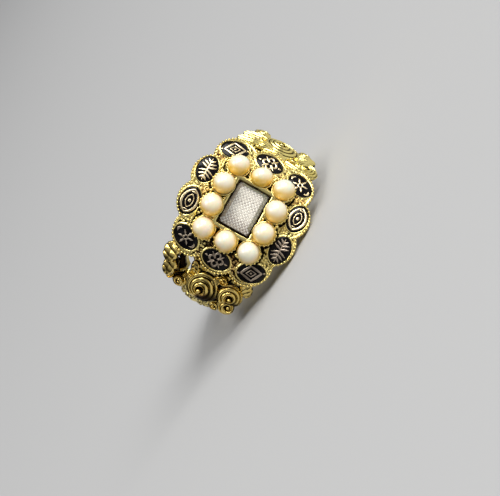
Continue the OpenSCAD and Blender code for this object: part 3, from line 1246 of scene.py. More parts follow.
@dataclass(frozen=True)
class Grain(Ornament):
    """A small bead on the scrollwork."""

    radius: float = 0.22
    rise: float = 0.2

    def edge(self, u: Array, v: Array) -> Array:
        """Distance inside its outline."""
        return self.radius - np.hypot(*self.local(u, v))

    def face(self, u: Array, v: Array) -> Array:
        """Height of its face over the wall."""
        far = np.hypot(*self.local(u, v))
        return self.rise + np.sqrt(np.maximum(0, self.radius**2 - far**2))


@dataclass(frozen=True)
class Piercing(Ornament):
    """A leaf shape cut through the wall, between two arcs."""

    length: float = 2.0
    width: float = 1.0
    turn: float = 0.0

    def edge(self, u: Array, v: Array) -> Array:
        """Distance inside the cut.

        Args:
            u: Distances away from the head.
            v: Distances across the band.

        Returns:
            The distance, negative outside.
        """
        x, y = swung(*self.local(u, v), self.turn)
        arc_r = (self.length**2 + self.width**2) / (4 * self.width)
        return arc_r - np.hypot(x, np.abs(y) + arc_r - self.width / 2)


def within_any(forms: Sequence[Ornament], u: Array, v: Array) -> Array:
    """Distance inside whichever form reaches furthest round each place."""
    return np.maximum.reduce([form.edge(u, v) for form in forms])


@dataclass(frozen=True)
class Raised:
    """A form that stands on the shoulder in a plane of its own, which leans towards the head.

    Attributes:
        form: The form, at the middle of its plane. Its first axis runs away from the head.
        angle: Angle of its middle from the head, in degrees.
        across: Distance of its middle across the band.
        stand: How far its middle stands from the shoulder.
        tilt: Lean of its face towards the head, in degrees.
        skew: Lean of its face towards +Y, in degrees.
        bow: How fast its face curves down away from the head, per millimetre.
        undercut: Share by which its foot is smaller than its face.
        undercut_depth: Depth at which it is wholly drawn in.
        rounding: Radius of its face's edge.
        sunk: How deep its foot stands in the wall.
        tallest: Greatest height of its sides.
        lowest: Least height of its sides.
        step: Width of a cell of its grid.
        flutes: Number of grooves that run round its sides.
        flute: How deep they are, as a share of the form's size.
    """

    form: Volute | Leaf
    angle: float
    across: float
    stand: float
    tilt: float
    skew: float = 0.0
    bow: float = 0.28
    undercut: float = 0.26
    undercut_depth: float = 1.3
    rounding: float = 0.2
    sunk: float = 0.35
    tallest: float = 1.9
    lowest: float = 0.3
    step: float = 0.045
    flutes: int = 3
    flute: float = 0.06

    def cast(self, casting: Casting, side: int) -> None:
        """Adds the form to a shoulder.

        Args:
            casting: The shoulder's piece.
            side: Which shoulder.
        """
        lean, skew = math.radians(self.angle - self.tilt), math.radians(self.skew)
        middle = RING.on_hoop(1, RING.along(self.angle), self.across, RING.shoulder_r + self.stand)
        out = np.array([math.sin(lean), 0, math.cos(lean)])
        away = np.array([math.cos(lean), 0, -math.sin(lean)])
        over = np.array([0, math.cos(skew), 0]) - math.sin(skew) * out
        face = math.cos(skew) * out + np.array([0, math.sin(skew), 0])

        def height(u: Array, v: Array) -> Array:
            """Height of the face with a rounded edge."""
            edge = self.rounding * (1 - smooth(self.form.edge(u, v) / self.rounding))
            return self.form.face(u, v) - edge - self.bow * np.maximum(u, 0) ** 2

        def under(u: Array, v: Array) -> Array:
            """Height at which the sides meet the shoulder's wall.

            Args:
                u: Distances away from the head, in the form's plane.
                v: Distances across it.

            Returns:
                The height, not too near the face nor too far below it.
            """
            start = middle + u[..., None] * away + v[..., None] * over
            a = face[0] ** 2 + face[2] ** 2
            b = start[..., 0] * face[0] + start[..., 2] * face[2]
            c = start[..., 0] ** 2 + start[..., 2] ** 2 - (RING.shoulder_r - self.sunk) ** 2
            foot = (np.sqrt(np.maximum(b * b - a * c, 0)) - b) / a
            top = height(u, v)
            return np.clip(foot, top - self.tallest, top - self.lowest)

        def place(u: Array, v: Array, h: Array) -> Array:
            """Points of the form, drawn in below its face.

            Args:
                u: Distances away from the head, in the form's plane.
                v: Distances across it.
                h: Heights over the plane.

            Returns:
                The points, in the ring's frame.
            """
            top = height(u, v)
            share = np.clip((top - h) / np.maximum(top - under(u, v), 0.1), 0, 1)
            groove = self.flute * (1 - reed(0.5 + self.flutes * share))
            within = (1 - self.undercut * smooth((top - h) / self.undercut_depth) - groove)[..., None]
            flat_way = u[..., None] * away + v[..., None] * over
            return (middle + within * flat_way + h[..., None] * face) * [side, 1, 1]

        size = self.form.size() + 0.1
        # The form's painted shade darkens its face.
        Relief((-size, -size), (size, size), self.step, self.form.edge, height, under, place,
               cavity=0.085, around=0.26, dark=self.form.shadow, sides=0.12, flutes=self.flutes).cast(casting)


def plume(length: float, width: float, turn: float, twist: float, rise: float = 0.6, bend: float = 0.2,
          ribs: float = 1.0) -> Leaf:
    """A long leaf of the far shoulder, whose ribs run almost along it."""
    return Leaf(0, 0, length, width, turn, bend, ribs, rise, 0.26, twist)


NEAR_FORMS = (
    Raised(Volute(0, 0, 2.5, wide=200, hand=-1, reeds=4.1, off=0.57, reed_h=0.28, fade=1, fade_way=310),
           59, 0.15, 1.1, 32),
    Raised(Volute(0, 0, 1.75, wide=165, reeds=3.4, off=0.4, reed_h=0.28, fade=1, fade_way=330),
           54, -3.2, 0.95, 28, -8),
    Raised(Volute(0, 0, 1.25, wide=80, reeds=2.7, off=0.45, reed_h=0.24), 59.7, -3.5, 1.05, 30, -8),
    Raised(Leaf(-6, 0.1, 2.4, 1.75, -12, 0.15, 2.9, 0.5, 0.34, 1.0), 42.4, 4.7, 0.8, 14, 16, 0.05),
    Raised(Leaf(-6.5, 0.15, 2.3, 1.55, -8, 0.2, 2.8, 0.5, 0.34, 1.0), 53.8, 4.05, 0.75, 18, 14, 0.05),
    Raised(Volute(0, 0, 0.52, wide=60, hand=-1, reeds=1.7, off=0.2), 62, 3.7, 0.6, 20, 10),
    Raised(Volute(0, 0, 0.85, wide=60, hand=-1, reeds=2.3, off=0.25, reed_h=0.2), 64, 2.5, 0.5, 18, 12),
    Raised(Volute(0, 0, 0.45, wide=0, hand=-1, reeds=1.7, off=0.2), 51.5, 1.75, 0.75, 20),
    Raised(Leaf(0, 0, 2.1, 1.0, -25, 0.25, 3.6, 0.25, 0.2, 1.0), 42, 1.9, 0.5, 20),
    Raised(Leaf(0, 0, 2.4, 1.1, 215, 0.35, 4, 0.25, 0.2), 51, -0.7, 0.75, 24),
    Raised(Volute(0, 0, 0.6, wide=200, reeds=1.9), 44.5, -1.8, 0.85, 20),
    Raised(Leaf(0, 0, 2.1, 1.3, -35, 0.2, 3.6, 0.3, 0.2, -1.0), 37.5, -3.9, 0.7, 18, -10),
    Raised(Leaf(0, 0, 1.8, 1.0, 60, 0.2, 3.4, 0.25, 0.2, 1.0), 62, 1.4, 0.5, 16, 6),
    Raised(Volute(0, 0, 0.8, wide=250, hand=-1, reeds=2.1), 70, -1.9, 0.5, 18, -6),
)
FAR_FORMS = (
    Raised(Volute(0, 0, 2.1, wide=200, reeds=5.4, off=0.4, reed_h=0.24, dome=1.1, stretch=1.5),
           57, 0, 0.62, 8, 0, 0.1),
    Raised(plume(4.0, 2.1, -84, 5.4, bend=-0.3, ribs=1.2), 54, 4.3, 0.12, 7, 2, 0.08),
    Raised(plume(3.0, 1.5, -80, 4.2), 44.5, 4.6, 0.3, 8, 4, 0.08),
    Raised(plume(2.8, 1.6, -84, 4.2, 0.62), 47, 3.2, 0.4, 8, 0, 0.08),
    Raised(plume(2.8, 1.5, -95, -4.0, 0.62), 44, 1.5, 0.5, 8, 0, 0.08),
    Raised(plume(2.6, 1.5, -100, 4.0), 44, -1.2, 0.45, 8, 0, 0.08),
    Raised(Volute(0, 0, 1.4, wide=-20, hand=-1, reeds=4.2, off=0.4, reed_h=0.24, dome=0.7, stretch=1.25),
           47, -3.55, 0.5, 10, -6, 0.1),
    Raised(plume(2.6, 1.4, -70, 3.8, 0.58), 55.5, -1.9, 0.3, 8, 0, 0.1),
    Raised(Volute(0, 0, 0.6, reeds=1.9, off=0.2), 46.8, -2.1, 0.9, 10),
    Raised(Volute(0, 0, 0.6, wide=200, reeds=1.9, off=0.2), 51, 2.0, 0.75, 10),
    Raised(Volute(0, 0, 1.0, wide=40, hand=-1, reeds=3.2, off=0.35, reed_h=0.2, dome=0.8, stretch=1.3),
           65, 2.3, 0.4, 8, 4),
    Raised(Volute(0, 0, 1.0, wide=250, hand=-1, reeds=3.2, reed_h=0.2, dome=0.8, stretch=1.2),
           64.5, -2.7, 0.4, 8, -4),
)


@dataclass
class Shoulder:
    """The pierced scrollwork of one shoulder.

    Attributes:
        side: 1 for the far shoulder and -1 for the near one.
        name: Start of the names of its pieces.
        shade: Strength of the painted shade on the wall behind the scrolls.
        raised: Forms that stand on the wall.
        step: Width of a cell of the wall's grid.
        first: Angle at which it starts under the head, in degrees.
        last: Angle at which it ends on the band.
        reach: Half width of the wall's grid.
        widths: Half width of the wall at some angles.
        solid: Forms that grow out of the wall and cover its piercings.
        bands: Curls that the piercings cut.
        cuts: The piercings.
    """

    side: int
    name: str
    shade: float
    raised: tuple[Raised, ...]
    step: float = 0.062
    first: float = 26.0
    last: float = 106.0
    reach: float = 5.6
    widths: tuple[tuple[float, float], ...] = (
        (0, 4.9), (33, 4.8), (46, 4.0), (60, 3.1), (75, 2.5), (90, 2.2), (118, 1.8),
    )
    solid: tuple[Ornament, ...] = (
        Volute(75, 1.15, 0.7, 0.42, wide=140, reeds=2.0),
        Volute(80, -1.05, 0.68, 0.4, wide=220, hand=-1, reeds=2.0),
        Leaf(83, 0, 3.6, 1.5, ribs=4.5, rise=0.38, rib_h=0.32),
        Volute(92.5, 1.1, 0.46, 0.34, wide=150, reeds=1.7),
        Volute(92.5, -1.1, 0.46, 0.34, wide=210, hand=-1, reeds=1.7),
        Grain(50, -0.67, 0.3, 0.55),
        Grain(62.5, -1.75, 0.3, 0.5),
        Grain(68, -1.5, 0.3, 0.5),
        Grain(72.5, -2.1, 0.27, 0.4),
        Grain(69, 1.75, 0.27, 0.4),
        Grain(77.5, 0.1, 0.27, 0.35),
        Grain(73, 0.2, 0.27, 0.4),
    )
    bands: tuple[Ornament, ...] = (
        Curl(50, 1.5, 1.25, -200, 20),
        Curl(63, 1.7, 1.5, 15, 150),
        Curl(61, -2.1, 1.75, -140, -45),
        Curl(77, 0.1, 1.9, -75, 75, width=0.6),
    )
    cuts: tuple[Ornament, ...] = (
        Piercing(51, 2.3, 4.4, 1.15, -28),
        Piercing(48.5, 0.45, 2.3, 1.1, 80),
        Piercing(58.5, 1.95, 2, 0.95, 25),
        Piercing(46.5, -3.1, 1.5, 0.85, 65),
        Piercing(63.5, -2.3, 1.2, 0.6, -35),
        Piercing(72, -0.75, 1.8, 0.8, 68),
        Piercing(69, 1.7, 1.6, 0.85, -30),
        Piercing(82, 0.45, 1.5, 0.8, 75),
        Piercing(87, 1.25, 1.4, 0.7, 0),
        Piercing(87, -1.35, 1.4, 0.7, 0),
    )

    def half(self, u: Array) -> Array:
        """Half width of the wall."""
        return np.interp(RING.degrees(u), *zip(*self.widths))

    def inside(self, u: Array, v: Array) -> Array:
        """Distance inside the metal, seen straight down.

        Args:
            u: Distances away from the head.
            v: Distances across the band.

        Returns:
            The distance, negative outside and in a piercing.
        """
        wall = np.minimum(self.half(u) - np.abs(v), u - RING.along(self.first))
        metal = np.minimum(np.maximum(wall, within_any(self.bands, u, v)), -within_any(self.cuts, u, v))
        return np.minimum(np.maximum(metal, within_any(self.solid, u, v)), RING.along(self.last) - u)

    def over(self, u: Array, v: Array) -> Array:
        """Height of the ornament over the wall."""
        forms = [form.height(u, v) for form in (*self.bands, *self.solid)]
        return np.maximum.reduce([0.03 * mottle(u, v, 0.3, 5), *forms])

    def dark(self, u: Array, v: Array) -> Array:
        """Painted shade on the wall behind the ornament, until it nears the band."""
        plain = smooth((RING.degrees(u) - 78) / 16)
        return self.shade * (1 - smooth(self.over(u, v) / 0.2)) * (1 - plain)

    def height(self, u: Array, v: Array) -> Array:
        """Distance of the upper surface from the finger hole's axis.

        Args:
            u: Distances away from the head.
            v: Distances across the band.

        Returns:
            The distance, less at the edges and towards the band.
        """
        rounding = 0.16 * (1 - smooth(self.inside(u, v) / 0.22))
        sink = 0.12 + 0.4 * smooth((RING.degrees(u) - 90) / 15)
        return RING.shoulder_r + self.over(u, v) - rounding - sink

    def under(self, u: Array, v: Array) -> Array:
        """Distance of the lower surface from the finger hole's axis."""
        return RING.bore_r + np.clip((np.abs(v) - self.half(u)) * 0.9, 0, 0.8)

    def place(self, u: Array, v: Array, radius: Array) -> Array:
        """Points of the wall."""
        return RING.on_hoop(self.side, u, v, radius)

    def build(self, finish: Material, raised_finish: Material) -> None:
        """Makes the shoulder.

        Args:
            finish: Material of its wall.
            raised_finish: Material of the forms that stand on it.
        """
        low = (RING.along(self.first) - 0.2, -self.reach)
        high = (RING.along(self.last) + 0.2, self.reach)
        # The wall carries painted shade behind the scrolls.
        Relief(low, high, self.step, self.inside, self.height, self.under, self.place,
               dark=self.dark, sides=0.1).piece(f"{self.name}_wall", finish)
        scrolls = Casting()
        for raised in self.raised:
            raised.cast(scrolls, self.side)
        scrolls.piece(f"{self.name}_scrolls", raised_finish)


# Head plate


@dataclass
class HeadPlate:
    """The scalloped plate with its cells, its beaded edge and the solid that carries it."""

    reach: tuple[float, float] = (7.9, 7.4)
    step: float = 0.056
    lobe_r: float = 2.5
    lobe_inset: float = 1.12
    thickness: float = 0.9
    cell_depth: float = 0.45
    rim: float = 0.26
    wall_h: float = 0.075
    border_h: float = 0.05
    stipple_h: float = 0.125
    stipple_pitch: float = 0.34
    nook_depth: float = 0.14
    cup_r: float = 1.32
    grain_r: float = 0.14
    grain_pitch: float = 0.38
    grain_inset: float = 0.09
    body_reach: float = 6.0
    body_long: float = 5.4
    body_wide: float = 5.1
    body_corner: float = 3.0
    body_reeds: int = 84
    lobes: Array = field(init=False)

    def __post_init__(self) -> None:
        """Works out the centres of the lobes, seen straight down."""
        plan = np.array([(RING.head_r * math.sin(u / RING.head_r), v) for u, v in CELL_PLACES])
        self.lobes = plan - self.lobe_inset * unit(plan)

    def outline(self, u: Array, v: Array) -> Array:
        """Distance inside the scalloped edge.

        Args:
            u: Distances along the head.
            v: Distances across it.

        Returns:
            The distance, negative outside.
        """
        x = RING.head_r * np.sin(u / RING.head_r)
        lobe = self.lobe_r - np.min([np.hypot(x - a, v - b) for a, b in self.lobes], axis=0)
        sides = [
            ((c - a) * (v - b) - (d - b) * (x - a)) / math.hypot(c - a, d - b)
            for (a, b), (c, d) in zip(self.lobes, np.roll(self.lobes, -1, 0))
        ]
        return np.maximum(lobe, np.min(sides, axis=0))

    def cell(self, u: Array, v: Array) -> Array:
        """Distance outside the nearest enamel oval.

        Args:
            u: Distances along the head.
            v: Distances across it.

        Returns:
            The distance, negative in an oval.
        """
        tiny, off = 1e-6, []
        for (a, b), turn in zip(CELL_PLACES, CELL_TURNS):
            p, q = swung(u - a, v - b, turn)
            share = np.hypot(p / CELL_LONG, q / CELL_WIDE)
            slope = np.hypot(p / CELL_LONG**2, q / CELL_WIDE**2) / np.maximum(share, tiny)
            off.append((share - 1) / np.maximum(slope, tiny))
        return np.min(off, axis=0)

    def cup(self, u: Array, v: Array) -> Array:
        """Distance outside the nearest pearl's cup."""
        return np.min([np.hypot(u - a, v - b) for a, b in PEARL_PLACES], axis=0) - self.cup_r

    def inside(self, u: Array, v: Array) -> Array:
        """Distance inside the upper plate, which the cells cut through."""
        return np.minimum(self.outline(u, v), self.cell(u, v) + 0.01)

    def ground(self, u: Array, v: Array) -> Array:
        """How matted the plate is: wholly between the rims."""
        return smooth((self.outline(u, v) - self.rim) / 0.08) * smooth((self.cell(u, v) - 0.15) / 0.08)

    def plate_painted_shade(self, u: Array, v: Array) -> Array:
        """Painted shade on the plate: shadows by the cups, deeper on the side away from the key light, and
        shade towards the near end.

        Args:
            u: Distances along the head.
            v: Distances across it.

        Returns:
            The painted shade, uneven from place to place.
        """
        # below is the side away from the key light, where the painted cup shadows are deeper; end is painted
        # shade towards the near end.
        below = smooth((1.5 + SHADE_WAY[0] * u + SHADE_WAY[1] * v) / 6)
        cup_shadow = smooth((0.5 - self.cup(u, v)) / 0.4) * (0.25 + 0.45 * below)
        end = self.ground(u, v) * smooth((-u - 3.2) / 2.2) * smooth((v + 4.5) / 3) * 0.35
        return (cup_shadow + end) * np.clip(1 + 0.7 * mottle(u, v, 0.5, 21), 0.2, 1.6)

    def height(self, u: Array, v: Array) -> Array:
        """Height of the upper surface over the head.

        Args:
            u: Distances along the head.
            v: Distances across it.

        Returns:
            The height.
        """
        edge = self.outline(u, v)
        wall = self.wall_h * smooth(1 - np.abs(self.cell(u, v) - 0.07) / 0.11)
        border = self.border_h * smooth(1 - np.abs(edge - 0.16) / 0.2)
        stipple = self.stipple_h * punched(u, v, self.stipple_pitch, 11) + 0.03 * mottle(u, v, 0.6, 12) - 0.07
        soft = 0.12 * (1 - smooth(edge / 0.18))
        cup = self.nook_depth * smooth(1 - np.abs(self.cup(u, v) - 0.1) / 0.14)
        return np.maximum(wall, border) + self.ground(u, v) * stipple - soft - cup

    def edge_path(self) -> Array:
        """The line of the milgrain inside the scalloped edge, evenly spaced.

        Returns:
            Distances along and across the head.
        """
        ray = about_axis(1.0, circle(2400), 0.0)[:, :2]
        r = self.lobe_r - self.grain_inset
        near = ray @ self.lobes.T
        off = np.sum(self.lobes**2, 1) - near**2
        reach = np.where(off < r * r, near + np.sqrt(np.maximum(r * r - off, 0)), 0).max(1)
        loop = ray * reach[:, None]
        loop = np.vstack([loop, loop[:1]])
        gone = np.concatenate([[0], np.cumsum(np.linalg.norm(np.diff(loop, axis=0), axis=1))])
        marks = np.linspace(0, gone[-1], round(gone[-1] / self.grain_pitch), endpoint=False)
        x, y = (np.interp(marks, gone, loop[:, k]) for k in (0, 1))
        return np.stack([RING.head_r * np.arcsin(x / RING.head_r), y], -1)

    def lower(self, u: Array, v: Array) -> Array:
        """Height of the plate's back, rounded towards the edge."""
        return 0.14 * (1 - smooth(self.outline(u, v) / 0.3)) - self.thickness

    def body(self, x: Array, y: Array) -> Array:
        """Distance inside the reeded solid under the plate, seen straight down.

        Args:
            x: Distances along the band.
            y: Distances across it.

        Returns:
            The distance, negative outside.
        """
        dx = np.abs(x) - self.body_long + self.body_corner
        dy = np.abs(y) - self.body_wide + self.body_corner
        off = np.hypot(np.maximum(dx, 0), np.maximum(dy, 0)) + np.minimum(np.maximum(dx, dy), 0)
        turn = np.arctan2(y, x) / (2 * np.pi) * self.body_reeds
        return self.body_corner - off - 0.14 * (1 - reed(turn))

    def build(self, finish: Material) -> None:
        """Makes the plate, its beaded edge and the solid under it.

        Args:
            finish: Their material.
        """
        low, high = tuple(-r for r in self.reach), self.reach
        # The plate carries painted shade by the cups and towards the near end.
        Relief(low, high, self.step, self.inside, self.height, flat(-self.cell_depth), RING.on_head,
               matted=self.ground, cavity=0.1, dark=self.plate_painted_shade).piece("head_plate", finish)

        grains = Casting()
        grains.beads(RING.on_head(*self.edge_path().T, 0.02), self.grain_r)
        grains.piece("head_milgrain", finish)

        Relief(low, high, 0.2, lambda u, v: self.outline(u, v) - 0.05, flat(0.02 - self.cell_depth),
               self.lower, RING.on_head).piece("head_plate_back", finish)

        top, bore = RING.head_r - self.thickness * 0.6, RING.bore_r + 0.004
        Relief((-self.body_reach,) * 2, (self.body_reach,) * 2, 0.1, self.body,
               lambda x, y: RING.head_axis_z + np.sqrt(top**2 - x**2), lambda x, y: np.sqrt(bore**2 - x**2),
               lambda x, y, z: np.stack([x, y, z], -1)).piece("head_body", finish)


# Enamel cells


Point = tuple[float, float]
Stroke = tuple[Array, Array]
PAINTED_SHADE_CELLS = (4, 5, 6, 7)  # the cells on the side away from the key light, whose motifs get the inlay painted darker as shade
THIN, MIDDLE, BOLD = 0.055, 0.09, 0.15  # half widths of strokes


class Motif(Enum):
    """Ornament set into a cell."""

    QUATREFOIL = 0
    LOZENGE = 1
    SPRAYS = 2
    EYE = 3
    STAR = 4


def spread(half: Sequence[float], count: int) -> Array:
    """Half widths spread evenly over the points of a stroke."""
    return np.interp(np.linspace(0, 1, count), np.linspace(0, 1, len(half)), half)


def arc(middle: Point, r: float, start: float, end: float, half: Sequence[float]) -> Stroke:
    """A curved stroke from one angle to another, in degrees.

    Args:
        middle: Centre of its arc.
        r: Radius of its arc.
        start: Angle where it starts.
        end: Angle where it ends.
        half: Half widths, spread evenly along it.

    Returns:
        Its points and its half width at each.
    """
    count = max(6, int(abs(end - start) / 9))
    turn = np.radians(np.linspace(start, end, count))
    return about_axis(r, turn, 0.0)[:, :2] + middle, spread(half, count)


def line(start: Point, end: Point, half: Sequence[float]) -> Stroke:
    """A straight stroke, as its points and its half width at each."""
    return np.linspace(start, end, 7), spread(half, 7)


def ray(degrees: float, first: float, last: float, half: Sequence[float]) -> Stroke:
    """A straight stroke that runs out from the middle."""
    way = np.array([math.cos(math.radians(degrees)), math.sin(math.radians(degrees))])
    return line(way * first, way * last, half)


def quatrefoil() -> list[Stroke]:
    """Four round petals with leaves between them.

    Returns:
        Its strokes.
    """
    open_turn, petal = 160, (THIN, MIDDLE, BOLD, MIDDLE, THIN)
    petals = [
        arc((x, y), 0.27, turn - open_turn, turn + open_turn, petal)
        for x, y, turn in ((0.46, 0, 0), (0, 0.42, 90), (-0.46, 0, 180), (0, -0.42, 270))
    ]
    leaves = [
        line((s * 0.34, t * 0.3), (s * 0.66, t * 0.62), (THIN, MIDDLE, 0.04))
        for s in (-1, 1) for t in (-1, 1)
    ]
    return petals + leaves + [line((s * 1.05, 0), (s * 1.25, 0), (0.12, 0.05)) for s in (-1, 1)]


def lozenge() -> list[Stroke]:
    """One lozenge in another, with a dot in the middle and at each end.

    Returns:
        Its strokes.
    """
    lines = []
    for long, wide, half in ((1.1, 0.74, (MIDDLE, BOLD, MIDDLE)), (0.52, 0.33, (THIN, THIN))):
        tips = [(long, 0.0), (0.0, wide), (-long, 0.0), (0.0, -wide)]
        lines += [line(tips[k], tips[(k + 1) % 4], half) for k in range(4)]
    return lines + [line((x - 0.03, 0), (x + 0.03, 0), (0.11, 0.11)) for x in (-1.36, 0, 1.36)]


def sprays() -> list[Stroke]:
    """Leaves in pairs along a stem, away from its middle.

    Returns:
        Their strokes.
    """
    leaves = [
        line((side * (at - 0.02), tilt * 0.04), (side * (at + 0.28), tilt * high), (MIDDLE, 0.13, 0.045))
        for side in (-1, 1) for at, high in ((0.14, 0.72), (0.5, 0.6), (0.84, 0.36)) for tilt in (-1, 1)
    ]
    return leaves + [line((-1.25, 0), (1.25, 0), (0.05, 0.11, 0.05))]


def eye() -> list[Stroke]:
    """Two pairs of arcs round a dot.

    Returns:
        Its strokes.
    """
    lids = [arc((0, -s * 0.62), 1.38, s * 27, s * 153, (MIDDLE, BOLD, MIDDLE)) for s in (-1, 1)]
    inner = [arc((0, -s * 0.5), 0.86, s * 38, s * 142, (THIN, THIN)) for s in (-1, 1)]
    ticks = [line((s * 0.94, -0.17), (s * 0.94, 0.17), (THIN, MIDDLE, THIN)) for s in (-1, 1)]
    return lids + inner + ticks + [line((-0.05, 0), (0.05, 0), (0.17, 0.17))]


def star() -> list[Stroke]:
    """Six rays round a ring, with a hook on each side.

    Returns:
        Its strokes.
    """
    hooks = [arc((s * 0.92, 0), 0.28, 28 - s * 90, 152 - s * 90, (THIN, BOLD, THIN)) for s in (-1, 1)]
    rays = [ray(turn, 0.3, 0.78, (THIN, 0.14, 0.045)) for turn in range(30, 390, 60)]
    return [*rays, arc((0, 0), 0.22, 0, 350, (MIDDLE, MIDDLE)), *hooks]


STROKES = {
    Motif.QUATREFOIL: quatrefoil, Motif.LOZENGE: lozenge, Motif.SPRAYS: sprays,
    Motif.EYE: eye, Motif.STAR: star,
}


@dataclass
class EnamelCell:
    """One oval of enamel and the gold motif set into it."""

    number: int
    dome_r: float = 8.0
    dome_top: float = 0.05
    depth: float = 0.4
    sunk: float = 0.02
    wire_rise: float = 0.05
    motif_size: tuple[float, float] = (1.52, 1.02)

    def dome(self, a: Array, b: Array) -> Array:
        """Height of the enamel in the cell's own frame."""
        return self.dome_top - self.dome_r + np.sqrt(self.dome_r**2 - a * a - b * b)

    def build(self, enamel: Material, inlay: Material) -> None:
        """Makes the oval and its motif.

        Args:
            enamel: The oval's material.
            inlay: The motif's material.
        """
        label = f"{self.number + 1:02d}"
        matrix = RING.spot(*CELL_PLACES[self.number], CELL_TURNS[self.number])
        share = np.concatenate([np.linspace(0.04, 0.94, 14), [0.975, 0.993]])[:, None]
        rings = about_axis(share, circle(80), 0.0) * [CELL_LONG, CELL_WIDE, 1]
        rings[..., 2] = self.dome(rings[..., 0], rings[..., 1]) - 0.05 * smooth((share - 0.9) / 0.1)
        foot = rings[-1:] * [1, 1, 0] - [0, 0, self.depth]
        oval = Casting()
        oval.loft(moved(np.concatenate([rings, foot]), matrix))
        oval.piece(f"enamel_oval_{label}", enamel, "enamel", f"enamel_{label}")

        motif = Casting()
        for path, half in STROKES[Motif(self.number % len(Motif))]():
            x, y = (path * [CELL_LONG, CELL_WIDE] / self.motif_size).T
            points = np.column_stack([x, y, self.dome(x, y) - self.sunk])
            motif.wire(moved(points, matrix), matrix[:3, 2], half, self.wire_rise)
        motif.piece(f"inlay_motif_{label}", inlay, "inlay_gold", f"inlay_{label}", 80)


# Pearls


SQUEEZES = (0.86, 0.92, 0.94, 1.0, 1.0, 0.98, 0.98, 0.97, 1.0, 0.95)  # width of each towards the light
PALENESS = (0.1, 0.1, 0.3, 0.1, 0.0, 0.1, 0.5, 0.1, 0.3, 0.25)  # how white each is


@dataclass
class Pearl:
    """One half pearl, a little out of round."""

    number: int
    radius: float = 1.22
    lift: float = 1.0
    flat: float = 0.5
    first_seed: int = 300

    def build(self, finish: Material) -> None:
        """Makes the pearl.

        Args:
            finish: Its material.
        """
        rng = np.random.default_rng(self.first_seed + self.number)
        tilt = np.linspace(0, math.acos(-self.flat / self.radius), 34)[1:]
        t, w = np.meshgrid(tilt, circle(64), indexing="ij")
        swell = np.ones_like(t)
        for order in (2, 3, 5):
            swing = rng.uniform(-0.012, 0.008) / order
            swell += swing * np.cos(order * w + rng.uniform(0, 6)) * np.sin(t) ** 2
        swell -= rng.uniform(0, 0.02) * np.cos(t) ** 2
        r = self.radius * swell * 0.995
        rings = about_axis(r * np.sin(t), w, r * np.cos(t))
        short, squeeze = unit(np.array([*SHADE_WAY, 0.0])), SQUEEZES[self.number]
        rings += (squeeze - 1) * (rings @ short)[..., None] * short + (1 - squeeze) * 0.6 * short
        # Painted reflection of the gold and painted shade: each pearl turns golden low down by its cup and on
        # the side away from the key light.
        shade = np.cos(w - math.atan2(SHADE_WAY[1], SHADE_WAY[0]))
        low = smooth((0.88 - np.cos(t) + 0.54 * shade * np.sin(t)) / 0.75)
        matrix = RING.spot(*PEARL_PLACES[self.number], 0.0, self.lift)
        casting, label = Casting(), f"{self.number + 1:02d}"
        casting.loft(moved(rings, matrix), low, PALENESS[self.number])
        casting.piece(f"half_pearl_{label}", finish, "pearl", f"pearl_{label}", 60)


@dataclass
class PearlSetting:
    """Cups of the pearls, with beaded outer rims and grains in the gaps."""

    cup_r: float = 1.32
    cup_top: float = 0.72
    grain_r: float = 0.14
    grain_pitch: float = 0.4
    beaded: float = 76.0

    def build(self, finish: Material) -> None:
        """Makes the cups and their grains.

        Args:
            finish: Their material.
        """
        cups, grains = Casting(), Casting()
        r, h = self.cup_r, self.cup_top
        profile = [
            (r - 0.02, -0.4, 0.8), (r - 0.02, 0.1, 0.8), (r - 0.05, 0.22, 0.6), (r - 0.05, h - 0.2, 0.35),
            (r, h - 0.12, 0.1), (r, h - 0.04, 0), (r - 0.04, h, 0), (r - 0.09, h + 0.01, 0),
            (r - 0.13, h - 0.05, 0.3), (r - 0.16, h - 0.4, 0.9),
        ]
        span = math.radians(self.beaded)
        rim = np.linspace(-span, span, round(2 * span * r / self.grain_pitch))
        for u, v in PEARL_PLACES:
            matrix = RING.spot(u, v)
            cups.lathe(profile, matrix)
            grains.beads(moved(about_axis(r - 0.02, math.atan2(v, u) + rim, h - 0.02), matrix), self.grain_r)
        for here, ahead in zip(PEARL_PLACES, PEARL_PLACES[1:] + PEARL_PLACES[:1]):
            gap = (np.array(here) + ahead) / 2
            for reach, size, lift in ((0.86, 0.2, 0.72), (-0.84, 0.17, 0.62)):
                grains.beads(RING.on_head(*(gap + unit(gap) * reach), lift), size, 14)
        cups.piece("pearl_cups", finish)
        grains.piece("pearl_milgrain", finish)


# Crystal and hair


